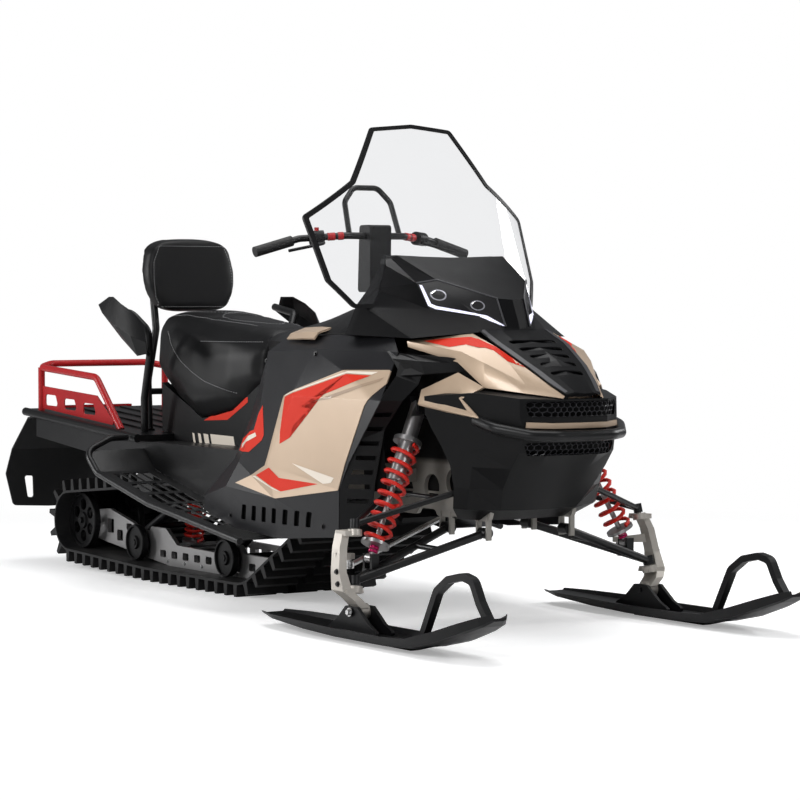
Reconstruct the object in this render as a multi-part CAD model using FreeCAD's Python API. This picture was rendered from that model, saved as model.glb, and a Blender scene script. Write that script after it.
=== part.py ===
import FreeCAD, Part
import math
import os

# A two-up utility snowmobile with a long rubber track, two steered skis, a
# cargo rack behind the seat and a tall windshield.
# Millimetres. X points forward, Y to the machine's left, Z up, ground at Z = 0.

V = FreeCAD.Vector

# Driving dimensions
MODEL_SHIFT = 87.0           # moves the origin to the middle of the length
TRACK_WIDTH = 508.0
TRACK_CLEARANCE = 26.0       # from the belt's edge to the tunnel's outside
BELT_THICKNESS = 8.0
LUG_HEIGHT = 40.0
LUG_PITCH = 64.0
TUNNEL_TOP = 492.0
TUNNEL_RISE = 60.0           # how far the tunnel climbs toward its rear end
SKI_STANCE = 1074.0
SKI_WIDTH = 175.0
SHIELD_FOOT = 962.0
SHIELD_TOP = 1535.0
SEAT_TOP = 935.0
STEERING_RAKE = 25.0
FIT = 0.3                    # gap between pieces that seat on one another
RUNNING_GAP = 0.05           # radial clearance of a turning fit
SHEET = 3.0                  # folded sheet metal
SKIN = 4.0                   # moulded body panels

TRACK_HALF = TRACK_WIDTH / 2
TUNNEL_HALF = TRACK_HALF + TRACK_CLEARANCE
SKI_Y = SKI_STANCE / 2

# Skid and drive places, side view
BELT_INSIDE = BELT_THICKNESS + LUG_HEIGHT
IDLER_X = -1440.0
IDLER_Z = 172.0
IDLER_RADIUS = 103.0
DRIVER_X = 110.0
DRIVER_Z = 330.0
DRIVER_RADIUS = 88.0
DRIVER_SHAFT = 16.0
GROUND_REAR_X = -850.0
GROUND_FRONT_X = -235.0
BEND_RADIUS = 160.0
BOGIE_RADIUS = 64.0
BOGIE_X = [-1040.0, -410.0]
AXLE_RADIUS = 12.0
RAIL_Y = 140.0
RAIL_THICKNESS = 16.0
WHEEL_Y = 184.0
WHEEL_WIDTH = 26.0

# Tunnel and deck places
TUNNEL_REAR = -1640.0
TUNNEL_KNEE = -820.0
TUNNEL_FRONT = 230.0
DECK_REAR = -1690.0
DECK_THICKNESS = 22.0

# Front suspension and steering points of the left side
UPPER_BALL = V(908.0, 528.0, 334.0)
LOWER_BALL = V(936.0, 548.0, 172.0)
SKI_BOLT = V(950.0, 537.0, 84.0)
LOWER_PIVOTS = [V(1030.0, 150.0, 298.0), V(842.0, 150.0, 303.0)]
UPPER_PIVOTS = [V(1058.0, 176.0, 446.0), V(660.0, 176.0, 452.0)]
SHOCK_LOW = V(914.0, 476.0, 232.0)
SHOCK_HIGH = V(850.0, 262.0, 672.0)
BALL_STUD = 8.0
TIE_ROD_OUTER = V(840.0, 504.0, 214.0)
TIE_ROD_INNER = V(765.0, 120.0, 325.0)
EYE_HALF = 14.0              # half the width of a damper's eye
PIVOT_HALF = 20.0            # half the length of an arm's chassis bush
RISER_FOOT = V(214.0, 0, 1003.0)


# Helpers for outlines and solids


def corner_arc(before, here, after, radius):
    """Tangent points and middle of the arc that rounds one corner, or None."""
    to_before = before - here
    to_after = after - here
    longest_trim = 0.48 * min(to_before.Length, to_after.Length)
    to_before.normalize()
    to_after.normalize()
    half = to_before.getAngle(to_after) / 2
    if half > math.radians(89.0):
        return None
    trim = min(radius / math.tan(half), longest_trim)
    used = trim * math.tan(half)
    bisector = to_before + to_after
    bisector.normalize()
    centre = here + bisector * (used / math.sin(half))
    middle = centre - bisector * used
    return here + to_before * trim, middle, here + to_after * trim


def rounded_path(points, radius, closed=False):
    """A wire through the points with its corners rounded by arcs."""
    count = len(points)
    inner = range(count) if closed else range(1, count - 1)
    arcs = {}
    if radius > 0:
        for i in inner:
            arcs[i] = corner_arc(points[i - 1], points[i], points[(i + 1) % count], radius)
    edges = []
    last = count if closed else count - 1
    for i in range(last):
        j = (i + 1) % count
        start = arcs[i][2] if arcs.get(i) else points[i]
        end = arcs[j][0] if arcs.get(j) else points[j]
        if (end - start).Length > 0.01:
            edges.append(Part.LineSegment(start, end).toShape())
        if arcs.get(j):
            edges.append(Part.Arc(*arcs[j]).toShape())
    return Part.Wire(edges)


def outline_face(points, radius=0.0):
    return Part.Face(rounded_path(points, radius, closed=True))


def side_plate(outline, y_low, y_high, radius=0.0):
    """A plate drawn in the side view (x, z) and extruded across."""
    points = [V(x, y_low, z) for x, z in outline]
    return outline_face(points, radius).extrude(V(0, y_high - y_low, 0))


def flat_plate(outline, z_low, z_high, radius=0.0):
    """A plate drawn in plan (x, y) and extruded upward."""
    points = [V(x, y, z_low) for x, y in outline]
    return outline_face(points, radius).extrude(V(0, 0, z_high - z_low))


def front_plate(outline, x_low, x_high, radius=0.0):
    """A plate drawn in the front view (y, z) and extruded along the machine."""
    points = [V(x_low, y, z) for y, z in outline]
    return outline_face(points, radius).extrude(V(x_high - x_low, 0, 0))


def block(x_low, x_high, y_low, y_high, z_low, z_high):
    return Part.makeBox(x_high - x_low, y_high - y_low, z_high - z_low, V(x_low, y_low, z_low))


def rod(start, end, radius):
    return Part.makeCylinder(radius, (end - start).Length, start, end - start)


def ring(start, end, radius, bore):
    return rod(start, end, radius).cut(rod(start, end, bore))


def across_rod(x, z, half, radius):
    return rod(V(x, -half, z), V(x, half, z), radius)


def tube(points, radius, bend=40.0):
    """A round bar or tube bent along the points."""
    path = rounded_path(points, bend)
    profile = Part.Wire(Part.makeCircle(radius, points[0], points[1] - points[0]))
    return path.makePipeShell([profile], True, False)


def mirrored(shape):
    return shape.mirror(V(0, 0, 0), V(0, 1, 0))


def both_sides(shape):
    return Part.makeCompound([shape, mirrored(shape)])


def left_point(point):
    return V(point.x, -point.y, point.z)


def symmetric(points):
    """A line drawn from the left side to the middle, continued to the right side."""
    return points + [left_point(point) for point in points[-2::-1]]


def fused(shapes):
    whole = shapes[0]
    if len(shapes) > 1:
        whole = whole.fuse(shapes[1:])
    return whole.removeSplitter()


def largest(shape):
    """The main solid left after a cut that trims a piece back to its neighbours."""
    return max(shape.Solids, key=lambda solid: solid.Volume)


def solid_loft(stations):
    """A solid lofted through closed cross-sections (x, [(y, z), ...])."""
    wires = []
    for x, line in stations:
        loop = [V(x, y, z) for y, z in line]
        wires.append(Part.makePolygon(loop + loop[:1]))
    return Part.makeLoft(wires, True, True)


def mirrored_section(half):
    """A closed section from its left half, given from the bottom middle to the top middle."""
    return half + [(-y, z) for y, z in half[::-1] if y > 0]


def point_grid(rows):
    return [[V(*point) for point in row] for row in rows]


def mirrored_grid(rows):
    """A grid drawn from the left edge to the middle, continued to the right edge."""
    return [symmetric([V(*point) for point in row]) for row in rows]


def offset_grid(grid, distance):
    """Every point of a grid moved along the surface's normal there."""
    moved = []
    last_row = len(grid) - 1
    last_column = len(grid[0]) - 1
    for i, row in enumerate(grid):
        line = []
        for j, point in enumerate(row):
            down = grid[min(i + 1, last_row)][j] - grid[max(i - 1, 0)][j]
            along = row[min(j + 1, last_column)] - row[max(j - 1, 0)]
            normal = down.cross(along)
            normal.normalize()
            line.append(point + normal * distance)
        moved.append(line)
    return moved


def facet_faces(a, b, c, d):
    """The two flat triangles of one cell of a grid, split alike on both sides of the machine."""
    if a.y + b.y + c.y + d.y < 0:
        a, b, c, d = b, a, d, c
    faces = []
    for corners in ((a, b, c), (a, c, d)):
        area = (corners[1] - corners[0]).cross(corners[2] - corners[0]).Length
        if area > 1e-3:
            faces.append(Part.Face(Part.makePolygon(list(corners) + [corners[0]])))
    return faces


def facet_solid(outer, inner):
    """A faceted solid closed between two grids of points."""
    faces = []
    rows = len(outer)
    columns = len(outer[0])
    for i in range(rows - 1):
        for j in range(columns - 1):
            for grid in (outer, inner):
                faces += facet_faces(grid[i][j], grid[i][j + 1], grid[i + 1][j + 1], grid[i + 1][j])
    for i in range(rows - 1):
        for j in (0, columns - 1):
            faces += facet_faces(outer[i][j], outer[i + 1][j], inner[i + 1][j], inner[i][j])
    for j in range(columns - 1):
        for i in (0, rows - 1):
            faces += facet_faces(outer[i][j], outer[i][j + 1], inner[i][j + 1], inner[i][j])
    shell = Part.Shell(faces)
    shell.sewShape()
    solid = Part.Solid(shell)
    if solid.Volume < 0:
        solid.reverse()
    return solid.removeSplitter()


def facet_panel(grid, thickness):
    """A moulded panel of even thickness behind a grid of points."""
    return facet_solid(grid, offset_grid(grid, thickness))


def coil(start, end, coil_radius, wire_radius, turns):
    """A coil spring wound about the line from start to end, its wire six-sided."""
    axis = end - start
    seat = wire_radius * math.sin(math.pi / 3)
    rise = axis.Length - 2 * seat
    steps = 12
    wires = []
    for i in range(turns * steps + 1):
        angle = 2 * math.pi * i / steps
        height = seat + rise * i / (turns * steps)
        out = V(math.cos(angle), math.sin(angle), 0)
        centre = out * coil_radius + V(0, 0, height)
        corners = []
        for k in range(6):
            lean = math.pi * k / 3
            reach = out * (wire_radius * math.cos(lean))
            corners.append(centre + reach + V(0, 0, wire_radius * math.sin(lean)))
        wires.append(Part.makePolygon(corners + corners[:1]))
    spring = Part.makeLoft(wires, True, True)
    spring.Placement = FreeCAD.Placement(start, FreeCAD.Rotation(V(0, 0, 1), axis))
    return spring


def wheel(x, y, z, radius, width, hub_radius, bore, windows):
    """A spoked roller on a cross axle, with round windows in its web."""
    half = width / 2
    web = width * 0.2
    rim = radius * 0.14
    section = [
        (bore, -half), (hub_radius, -half), (hub_radius + 3, -web), (radius - rim, -web),
        (radius - rim + 2, -half), (radius - 2, -half), (radius, -half + 3),
        (radius, half - 3), (radius - 2, half), (radius - rim + 2, half),
        (radius - rim, web), (hub_radius + 3, web), (hub_radius, half), (bore, half),
    ]
    points = [V(x, y + across, z + out) for out, across in section]
    body = Part.Face(Part.makePolygon(points + points[:1])).revolve(V(x, y, z), V(0, 1, 0), 360)
    middle = (hub_radius + radius - rim) / 2
    window = (radius - rim - hub_radius) * 0.36
    for i in range(windows):
        angle = 2 * math.pi * (i + 0.5) / windows
        centre = V(x + middle * math.cos(angle), y - half - 1, z + middle * math.sin(angle))
        body = body.cut(Part.makeCylinder(window, width + 2, centre, V(0, 1, 0)))
    return body


def save(name, shape):
    placed = shape.copy()
    placed.translate(V(MODEL_SHIFT, 0, 0))
    placed.exportStep(os.path.join("parts", name + ".step"))
    print(name, len(placed.Solids), round(placed.Volume / 1000.0, 1), "cm3")


# Track and rear suspension


def loop_circles(offset):
    """Circles that the belt wraps, counter-clockwise in side view, grown by an offset."""
    bend_z = BELT_INSIDE + BEND_RADIUS
    return [
        (IDLER_X, IDLER_Z, IDLER_RADIUS + offset),
        (GROUND_REAR_X, bend_z, BEND_RADIUS + offset),
        (GROUND_FRONT_X, bend_z, BEND_RADIUS + offset),
        (DRIVER_X, DRIVER_Z, DRIVER_RADIUS + offset),
    ]


def loop_wire(offset, y):
    """The closed belt line at an offset outside the belt's inner face."""
    circles = loop_circles(offset)
    count = len(circles)
    tangents = []
    for i in range(count):
        ax, az, ar = circles[i]
        bx, bz, br = circles[(i + 1) % count]
        length = math.hypot(bx - ax, bz - az)
        dx, dz = (bx - ax) / length, (bz - az) / length
        lean = (ar - br) / length
        out = math.sqrt(1 - lean * lean)
        nx, nz = dx * lean + dz * out, dz * lean - dx * out
        tangents.append((V(ax + ar * nx, y, az + ar * nz), V(bx + br * nx, y, bz + br * nz)))
    edges = []
    for i in range(count):
        start, end = tangents[i]
        edges.append(Part.LineSegment(start, end).toShape())
        cx, cz, cr = circles[(i + 1) % count]
        following = tangents[(i + 1) % count][0]
        first = math.atan2(end.z - cz, end.x - cx)
        sweep = (math.atan2(following.z - cz, following.x - cx) - first) % (2 * math.pi)
        middle = V(cx + cr * math.cos(first + sweep / 2), y, cz + cr * math.sin(first + sweep / 2))
        edges.append(Part.Arc(end, middle, following).toShape())
    return Part.Wire(edges)


def outline_with_teeth(offset, reach, foot_steps, tip_steps, count, steps, y):
    """A closed outline along the belt line with a tooth at every pitch."""
    wire = loop_wire(offset, y)
    points = wire.discretize(Number=count * steps + 1)[:-1]
    total = len(points)
    outline = []
    for i in range(count):
        middle = i * steps
        run = points[(middle + 1) % total] - points[middle - 1]
        out = V(run.z, 0, -run.x)
        out.normalize()
        tip = out * reach
        outline.append(points[middle - foot_steps])
        outline.append(points[middle - tip_steps] + tip)
        outline.append(points[(middle + tip_steps) % total] + tip)
        outline.append(points[(middle + foot_steps) % total])
    return outline


def make_track():
    """One closed belt with its cross lugs, which two grooves part into three rows."""
    length = loop_wire(BELT_THICKNESS, 0).Length
    count = int(round(length / LUG_PITCH))
    outside = outline_with_teeth(BELT_THICKNESS, LUG_HEIGHT, 3, 2, count, 16, -TRACK_HALF)
    belt = outline_face(outside).extrude(V(0, TRACK_WIDTH, 0))
    belt = belt.cut(Part.Face(loop_wire(0, -TRACK_HALF)).extrude(V(0, TRACK_WIDTH, 0)))
    groove_middle = TRACK_WIDTH * 0.16
    groove_half = 16
    for side in (-1, 1):
        y_low = side * groove_middle - groove_half
        reach = V(0, 2 * groove_half, 0)
        outer = Part.Face(loop_wire(BELT_INSIDE + 30, y_low)).extrude(reach)
        core = Part.Face(loop_wire(BELT_THICKNESS + 2, y_low)).extrude(reach)
        belt = belt.cut(outer.cut(core))
    return belt


def make_drive_axle():
    """The toothed drivers that pull the belt, on their cross axle."""
    pieces = [across_rod(DRIVER_X, DRIVER_Z, TUNNEL_HALF + 12, DRIVER_SHAFT)]
    teeth = 9
    outer = DRIVER_RADIUS - FIT
    root = outer - 14
    for y in (-75.0, 75.0):
        outline = []
        for i in range(teeth):
            for part, radius in ((0.0, outer), (0.42, outer), (0.58, root), (0.84, root)):
                angle = 2 * math.pi * (i + part) / teeth
                corner = V(DRIVER_X + radius * math.cos(angle), y - 12, DRIVER_Z + radius * math.sin(angle))
                outline.append(corner)
        pieces.append(outline_face(outline).extrude(V(0, 24, 0)))
    return fused(pieces)


def bogie_z(x):
    """Axle height of a bogie wheel that rolls on the belt at x."""
    climb = (IDLER_Z - IDLER_RADIUS - BELT_INSIDE) / (GROUND_REAR_X - IDLER_X)
    return BELT_INSIDE + BOGIE_RADIUS + max(GROUND_REAR_X - x, 0) * climb + 2 * FIT


SKID_SHOCK_LOW = V(-965.0, 0, 92.0)
SKID_SHOCK_HIGH = V(-915.0, 0, 296.0)
SKID_EYE_HALF = 13.0


def rail_outline():
    """The slide rail in side view: straight foot, upswept nose, humps where axles pass."""
    foot = BELT_INSIDE + FIT
    nose = GROUND_FRONT_X
    return [
        (IDLER_X + 10, 112), (GROUND_REAR_X - 60, foot + 6), (GROUND_REAR_X, foot), (nose, foot),
        (nose + 72, foot + 20), (nose + 148, foot + 70), (nose + 172, foot + 92), (nose + 130, foot + 96),
        (nose + 60, 128), (-340, 128), (-370, 156), (-450, 156), (-480, 118), (-800, 124), (-880, 178),
        (-985, 178), (-1000, 160), (-1080, 160), (-1120, 182), (-1300, 222), (IDLER_X - 12, 208),
        (IDLER_X - 40, 180), (IDLER_X - 36, 140),
    ]


def make_slide_rails():
    """Two aluminium rails with lightening windows, joined by the damper's cross tube."""
    rail = side_plate(rail_outline(), RAIL_Y, RAIL_Y + RAIL_THICKNESS, 14)
    windows = [(middle, 88, 21, 13) for middle in (-130, -210, -290, -500, -580, -660, -740, -820, -900)]
    windows += [(-1150, 118, 22, 20), (-1150, 165, 20, 12), (-1220, 130, 22, 20), (-1290, 160, 24, 26)]
    for middle, z, half_x, half_z in windows:
        hole = [
            (middle - half_x, z - half_z), (middle + half_x, z - half_z),
            (middle + half_x, z + half_z), (middle - half_x, z + half_z),
        ]
        rail = rail.cut(side_plate(hole, RAIL_Y - 1, RAIL_Y + RAIL_THICKNESS + 1, 6))
    axles = [(x, bogie_z(x)) for x in BOGIE_X] + [(IDLER_X, IDLER_Z)]
    for x, z in axles:
        rail = rail.cut(rod(V(x, RAIL_Y - 1, z), V(x, RAIL_Y + RAIL_THICKNESS + 1, z), AXLE_RADIUS + FIT))
    stub = rod(SKID_SHOCK_LOW + V(0, SKID_EYE_HALF + FIT, 0), SKID_SHOCK_LOW + V(0, RAIL_Y + 1, 0), 11)
    return both_sides(fused([rail, stub]))


def make_rear_idlers():
    """Three large idlers on the rear axle that tension the belt."""
    pieces = [across_rod(IDLER_X, IDLER_Z, WHEEL_Y + 22, AXLE_RADIUS)]
    for y in (-WHEEL_Y, 0, WHEEL_Y):
        pieces.append(wheel(IDLER_X, y, IDLER_Z, IDLER_RADIUS - FIT, WHEEL_WIDTH, 28, 10, 6))
    return fused(pieces)


def make_bogie_wheels():
    """Bogie wheels outside the rails, two on each cross axle."""
    sets = []
    for x in BOGIE_X:
        z = bogie_z(x)
        pieces = [across_rod(x, z, WHEEL_Y + 16, AXLE_RADIUS)]
        for y in (-WHEEL_Y, WHEEL_Y):
            pieces.append(wheel(x, y, z, BOGIE_RADIUS - FIT, WHEEL_WIDTH, 22, 10, 0))
        sets.append(fused(pieces))
    return Part.makeCompound(sets)


FRONT_ARM_LOW = V(-505.0, 0, 100.0)
FRONT_ARM_HIGH = V(-110.0, 0, 345.0)
REAR_ARM_LOW = V(-1100.0, 0, 150.0)
REAR_ARM_HIGH = V(-800.0, 0, 296.0)


def swing_arm(low, high, low_half, high_half, brace_share):
    """A welded tube frame that swings between the rails and the tunnel."""
    reach = V(0, 1, 0)
    pieces = [
        rod(low - reach * low_half, low + reach * low_half, 14),
        rod(high - reach * high_half, high + reach * high_half, 16),
    ]
    half = low_half - 24
    for side in (-1, 1):
        pieces.append(rod(low + reach * (side * half), high + reach * (side * half), 15))
    brace = low + (high - low) * brace_share
    pieces.append(rod(brace - reach * half, brace + reach * half, 11))
    return pieces


def make_skid_arms():
    """The front and rear arms of the skid; the rear one holds the damper's upper eye."""
    inner = RAIL_Y - FIT
    top = TUNNEL_HALF - SHEET - FIT
    front = swing_arm(FRONT_ARM_LOW, FRONT_ARM_HIGH, inner, top, 0.45)
    rear = swing_arm(REAR_ARM_LOW, REAR_ARM_HIGH, inner, top, 0.16)
    for side in (-1, 1):
        aside = V(0, side * (SKID_EYE_HALF + FIT + 8), 0)
        rear.append(rod(REAR_ARM_HIGH + aside, SKID_SHOCK_HIGH + aside, 8))
    return Part.makeCompound([fused(front), fused(rear)])


def damper(low, high, across, half, split, body_radius, shaft_radius, eye_radius):
    """A damper's shaft, body and two eyes, whose pins point across."""
    axis = high - low
    length = axis.Length
    axis.normalize()
    middle = low + axis * (length * split)
    pieces = [rod(low, middle + axis * 6, shaft_radius), rod(middle, high, body_radius)]
    for eye in (low, high):
        pieces.append(rod(eye - across * half, eye + across * half, eye_radius))
    return pieces


SKID_SEAT = (26.0, 34.0)     # where a spring seat starts and ends along the skid damper


def make_skid_shock():
    """The rear coil-over damper with its spring seats."""
    low, high = SKID_SHOCK_LOW, SKID_SHOCK_HIGH
    axis = high - low
    axis.normalize()
    pieces = damper(low, high, V(0, 1, 0), SKID_EYE_HALF, 0.52, 21, 8, 16)
    near, far = SKID_SEAT
    pieces.append(rod(low + axis * near, low + axis * far, 42))
    pieces.append(rod(high - axis * far, high - axis * near, 42))
    whole = fused(pieces)
    for side in (-1, 1):
        aside = V(0, side * (SKID_EYE_HALF + FIT + 8), 0)
        whole = whole.cut(rod(REAR_ARM_HIGH + aside, high + aside, 8 + FIT))
    return largest(whole)


def make_skid_spring():
    low, high = SKID_SHOCK_LOW, SKID_SHOCK_HIGH
    axis = high - low
    axis.normalize()
    far = SKID_SEAT[1] + FIT
    return coil(low + axis * far, high - axis * far, 32, 5.5, 7)


# Tunnel, boards and cargo deck


BOARD_LINE = [(215, 236), (-371, 316), (-730, 398), (-815, 468)]
BOARD_OUT = 505.0
RIM_RADIUS = 11.0
DECK_SIDE_Y = TUNNEL_HALF + 20.0
DECK_SIDE_RADIUS = 15.0
RIM_END_Y = DECK_SIDE_Y + DECK_SIDE_RADIUS + RIM_RADIUS + FIT


def roof_z(x):
    """Top face of the tunnel, which climbs behind its knee."""
    return TUNNEL_TOP + TUNNEL_RISE * max(TUNNEL_KNEE - x, 0) / (TUNNEL_KNEE - TUNNEL_REAR)


def board_z(x):
    """Top face of the running board at x."""
    for (front_x, front_z), (rear_x, rear_z) in zip(BOARD_LINE, BOARD_LINE[1:]):
        if x >= rear_x:
            break
    return front_z + (rear_z - front_z) * (x - front_x) / (rear_x - front_x)


def deck_z(x):
    """Underside of the cargo deck, which climbs toward the rear with the tunnel."""
    slope = TUNNEL_RISE / (TUNNEL_KNEE - TUNNEL_REAR)
    return TUNNEL_TOP + slope * (TUNNEL_KNEE - x) + FIT


def make_tunnel():
    """The folded tunnel that covers the track, with drop brackets for the rear arm."""
    low = [(x, board_z(x) - SHEET) for x in (-740, -371, TUNNEL_FRONT)]
    side = [
        (TUNNEL_FRONT, TUNNEL_TOP), (TUNNEL_KNEE, TUNNEL_TOP), (TUNNEL_REAR, roof_z(TUNNEL_REAR)),
        (TUNNEL_REAR, roof_z(TUNNEL_REAR) - 76), (-900, 404), (-860, 400), (-835, 276), (-765, 276),
    ] + low
    inner = TUNNEL_HALF - SHEET
    wall = side_plate(side, inner, TUNNEL_HALF)
    wall = wall.cut(rod(V(DRIVER_X, inner - 5, DRIVER_Z), V(DRIVER_X, TUNNEL_HALF + 5, DRIVER_Z), DRIVER_SHAFT + FIT))
    roof_line = [(x, roof_z(x)) for x in (TUNNEL_FRONT, TUNNEL_KNEE, TUNNEL_REAR)]
    roof_line += [(x, z - SHEET) for x, z in roof_line[::-1]]
    roof = side_plate(roof_line, -inner, inner)
    front = block(TUNNEL_FRONT, TUNNEL_FRONT + SHEET, -TUNNEL_HALF, TUNNEL_HALF, 400, TUNNEL_TOP)
    return fused([roof, wall, mirrored(wall), front])


def make_running_board():
    """A folded running board with long grip slots and a rolled outer edge."""
    upper = [(x, z) for x, z in BOARD_LINE]
    lower = [(x, z - SHEET) for x, z in BOARD_LINE]
    board = side_plate(upper + lower[::-1], TUNNEL_HALF, BOARD_OUT)
    rim = [V(x, BOARD_OUT, z - 4) for x, z in BOARD_LINE] + [V(-835, 400, 506), V(-850, RIM_END_Y, 506)]
    board = fused([board, tube(rim, RIM_RADIUS, 60)])
    width = (BOARD_OUT - TUNNEL_HALF) / 6
    for i in range(6):
        x = -705 + i * 122
        for k in range(1, 5):
            y = TUNNEL_HALF + width * (k + 0.1)
            slot = [(x, y), (x + 98, y), (x + 98, y + width * 0.72), (x, y + width * 0.72)]
            board = board.cut(flat_plate(slot, 200, 480))
    return board


def make_cargo_deck():
    """The moulded cargo deck with its raised ribs and side rails."""
    front = TUNNEL_KNEE
    slab = [(DECK_REAR, deck_z(DECK_REAR)), (front, deck_z(front))]
    slab += [(x, z + DECK_THICKNESS) for x, z in slab[::-1]]
    half = DECK_SIDE_Y - 4
    pieces = [side_plate(slab, -half, half)]
    rib_rear = DECK_REAR + 40
    rib_front = front - 120
    rib = [(rib_rear, deck_z(rib_rear) + DECK_THICKNESS - 1), (rib_front, deck_z(rib_front) + DECK_THICKNESS - 1)]
    rib += [(x, z + 7) for x, z in rib[::-1]]
    for y in (-180, -90, 0, 90, 180):
        pieces.append(side_plate(rib, y - 14, y + 14))
    for side in (-1, 1):
        start = V(DECK_REAR, side * DECK_SIDE_Y, deck_z(DECK_REAR) + DECK_THICKNESS / 2)
        end = V(front, side * DECK_SIDE_Y, deck_z(front) + DECK_THICKNESS / 2)
        pieces.append(rod(start, end, DECK_SIDE_RADIUS))
    return fused(pieces)


RACK_Y = 262.0
RACK_TUBE = 12.5
RACK_FRONT = -1010.0
RACK_REAR = -1632.0


def make_cargo_rack(deck):
    """The bent tube rack with its cut-out side plates."""
    foot_rear = deck_z(RACK_REAR) + DECK_THICKNESS - 4
    foot_front = deck_z(RACK_FRONT) + DECK_THICKNESS - 4
    top_front = V(-1196, RACK_Y, 706)
    top_rear = V(-1640, RACK_Y, 732)
    rail = symmetric([
        V(RACK_FRONT, RACK_Y, foot_front), top_front, top_rear, V(-1668, RACK_Y - 60, 745), V(-1668, 0, 745),
    ])
    pieces = [tube(rail, RACK_TUBE, 60)]
    for side in (-1, 1):
        y = side * RACK_Y
        pieces.append(rod(V(RACK_REAR, y, foot_rear), V(RACK_REAR, y, top_rear.z), RACK_TUBE))
        plate = [(RACK_REAR + 4, foot_rear + 12), (RACK_FRONT - 30, foot_front + 12), (-1190, 640), (RACK_REAR + 4, 664)]
        sheet = side_plate(plate, y - 2, y + 2, 10)
        for middle in (-1540, -1390, -1240):
            z = deck_z(middle) + 66
            hole = [(middle - 55, z - 18), (middle + 45, z - 20), (middle + 25, z + 20), (middle - 55, z + 22)]
            sheet = sheet.cut(side_plate(hole, y - 5, y + 5, 10))
        pieces.append(sheet)
    return largest(fused(pieces).cut(deck))


HITCH_HALF = 45.0
HITCH_LOW = 470.0
HITCH_PLATE = 8.0
HITCH_BORE_X = -1764.0


def make_snow_flap():
    """The moulded flap behind the track with two tapered slots and room for the tow tongue."""
    outline = [(-280, 570), (-335, 330), (-298, 208), (-150, 200), (150, 200), (298, 208), (335, 330), (280, 570)]
    cutter = front_plate(outline, -1900, -1600, 20)
    top = roof_z(TUNNEL_REAR)
    outer = [(TUNNEL_REAR - FIT, top), (-1700, top - 7), (-1781, 424), (-1806, 200)]
    inner = [(-1800, 200), (-1775, 421), (-1697, top - 13), (TUNNEL_REAR - FIT, top - 6)]
    flap = side_plate(outer + inner, -340, 340).common(cutter)
    for side in (-1, 1):
        slot = [(side * 258, 320), (side * 222, 318), (side * 215, 235), (side * 240, 238)]
        flap = flap.cut(front_plate(slot, -1900, -1600, 8))
    room = HITCH_HALF + 6
    flap = flap.cut(block(-1800, -1700, -room, room, HITCH_LOW - 40, HITCH_LOW + HITCH_PLATE + 6))
    return flap


def make_tail_lamp():
    low = deck_z(DECK_REAR)
    shell = block(DECK_REAR - 34, DECK_REAR - FIT, -150, 150, low - 6, low + 30)
    return shell.makeFillet(8, shell.Edges[:4])


def make_hitch():
    """The rear tow tongue with its pin bore, hung under the tunnel's roof."""
    high = HITCH_LOW + HITCH_PLATE
    bore = HITCH_BORE_X
    outline = [(TUNNEL_REAR, -HITCH_HALF), (TUNNEL_REAR, HITCH_HALF), (bore, 28), (bore - 26, 0), (bore, -28)]
    plate = flat_plate(outline, HITCH_LOW, high, 12)
    front = TUNNEL_REAR + 9
    roof = roof_z(front) - SHEET - FIT
    upright = block(TUNNEL_REAR + 1, front, -60, 60, HITCH_LOW, roof)
    web = block(TUNNEL_REAR - 9, front, -HITCH_HALF, HITCH_HALF, HITCH_LOW, high)
    tongue = fused([plate, upright, web])
    return tongue.cut(rod(V(bore, 0, HITCH_LOW - 10), V(bore, 0, high + 10), 8))


# Seat and backrest


def seat_section(low, waist, side_z, top, half_low, half_wide, half_top):
    """A closed seat section: flat foot, bulged side and a top with sloped shoulders."""
    return mirrored_section([
        (half_low, low), (half_wide, waist), (half_wide - 8, side_z), (half_top, top), (half_top * 0.5, top + 5),
    ])


def make_seat():
    """The two-up seat: narrow nose, low rider's place and raised passenger's place."""
    return solid_loft([
        (-930, seat_section(700, 760, 880, SEAT_TOP - 8, 120, 165, 128)),
        (-780, seat_section(640, 720, 885, SEAT_TOP - 2, 150, 195, 138)),
        (-620, seat_section(578, 640, 862, SEAT_TOP - 16, 160, 195, 138)),
        (-540, seat_section(588, 650, 848, SEAT_TOP - 28, 160, 190, 130)),
        (-400, seat_section(614, 670, 838, SEAT_TOP - 44, 158, 182, 118)),
        (-240, seat_section(700, 724, 822, SEAT_TOP - 66, 120, 148, 92)),
    ])


def make_seat_base(seat):
    """The moulded base that carries the seat on the tunnel and the cargo deck."""
    on_tunnel = TUNNEL_TOP + FIT
    step_x = TUNNEL_KNEE + 4
    deck_top = deck_z(step_x) + DECK_THICKNESS + FIT
    outline = [
        (-60, on_tunnel), (step_x, on_tunnel), (step_x, deck_top + 1), (-900, deck_z(-900) + DECK_THICKNESS + FIT),
        (-900, 694), (-780, 644), (-620, 582), (-400, 618), (-240, 704), (-60, 709.7),
    ]
    return largest(side_plate(outline, -158, 158).cut(seat))


def make_backrest_pad():
    half = [(144, 940), (174, 1010), (179, 1080), (154, 1203)]
    outline = half + [(-y, z) for y, z in half[::-1]]
    pad = front_plate(outline, -1000, -938, 35)
    pad.rotate(V(-969, 0, 940), V(0, 1, 0), -7)
    return pad


def make_backrest_frame(pad, deck):
    """The tube frame that holds the backrest above the cargo deck."""
    foot = deck_z(-960) + DECK_THICKNESS - 4
    pieces = []
    for side in (-1, 1):
        post = [V(-960, side * 176, foot), V(-966, side * 178, 700), V(-1010, side * 120, 880), V(-1041, side * 120, 1060)]
        pieces.append(tube(post, 13, 70))
    pieces.append(rod(V(-1022, -134, 1040), V(-1022, 134, 1040), 12))
    pieces.append(rod(V(-965, -178, 660), V(-965, 178, 660), 11))
    return largest(fused(pieces).cut(pad).cut(deck))


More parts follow.
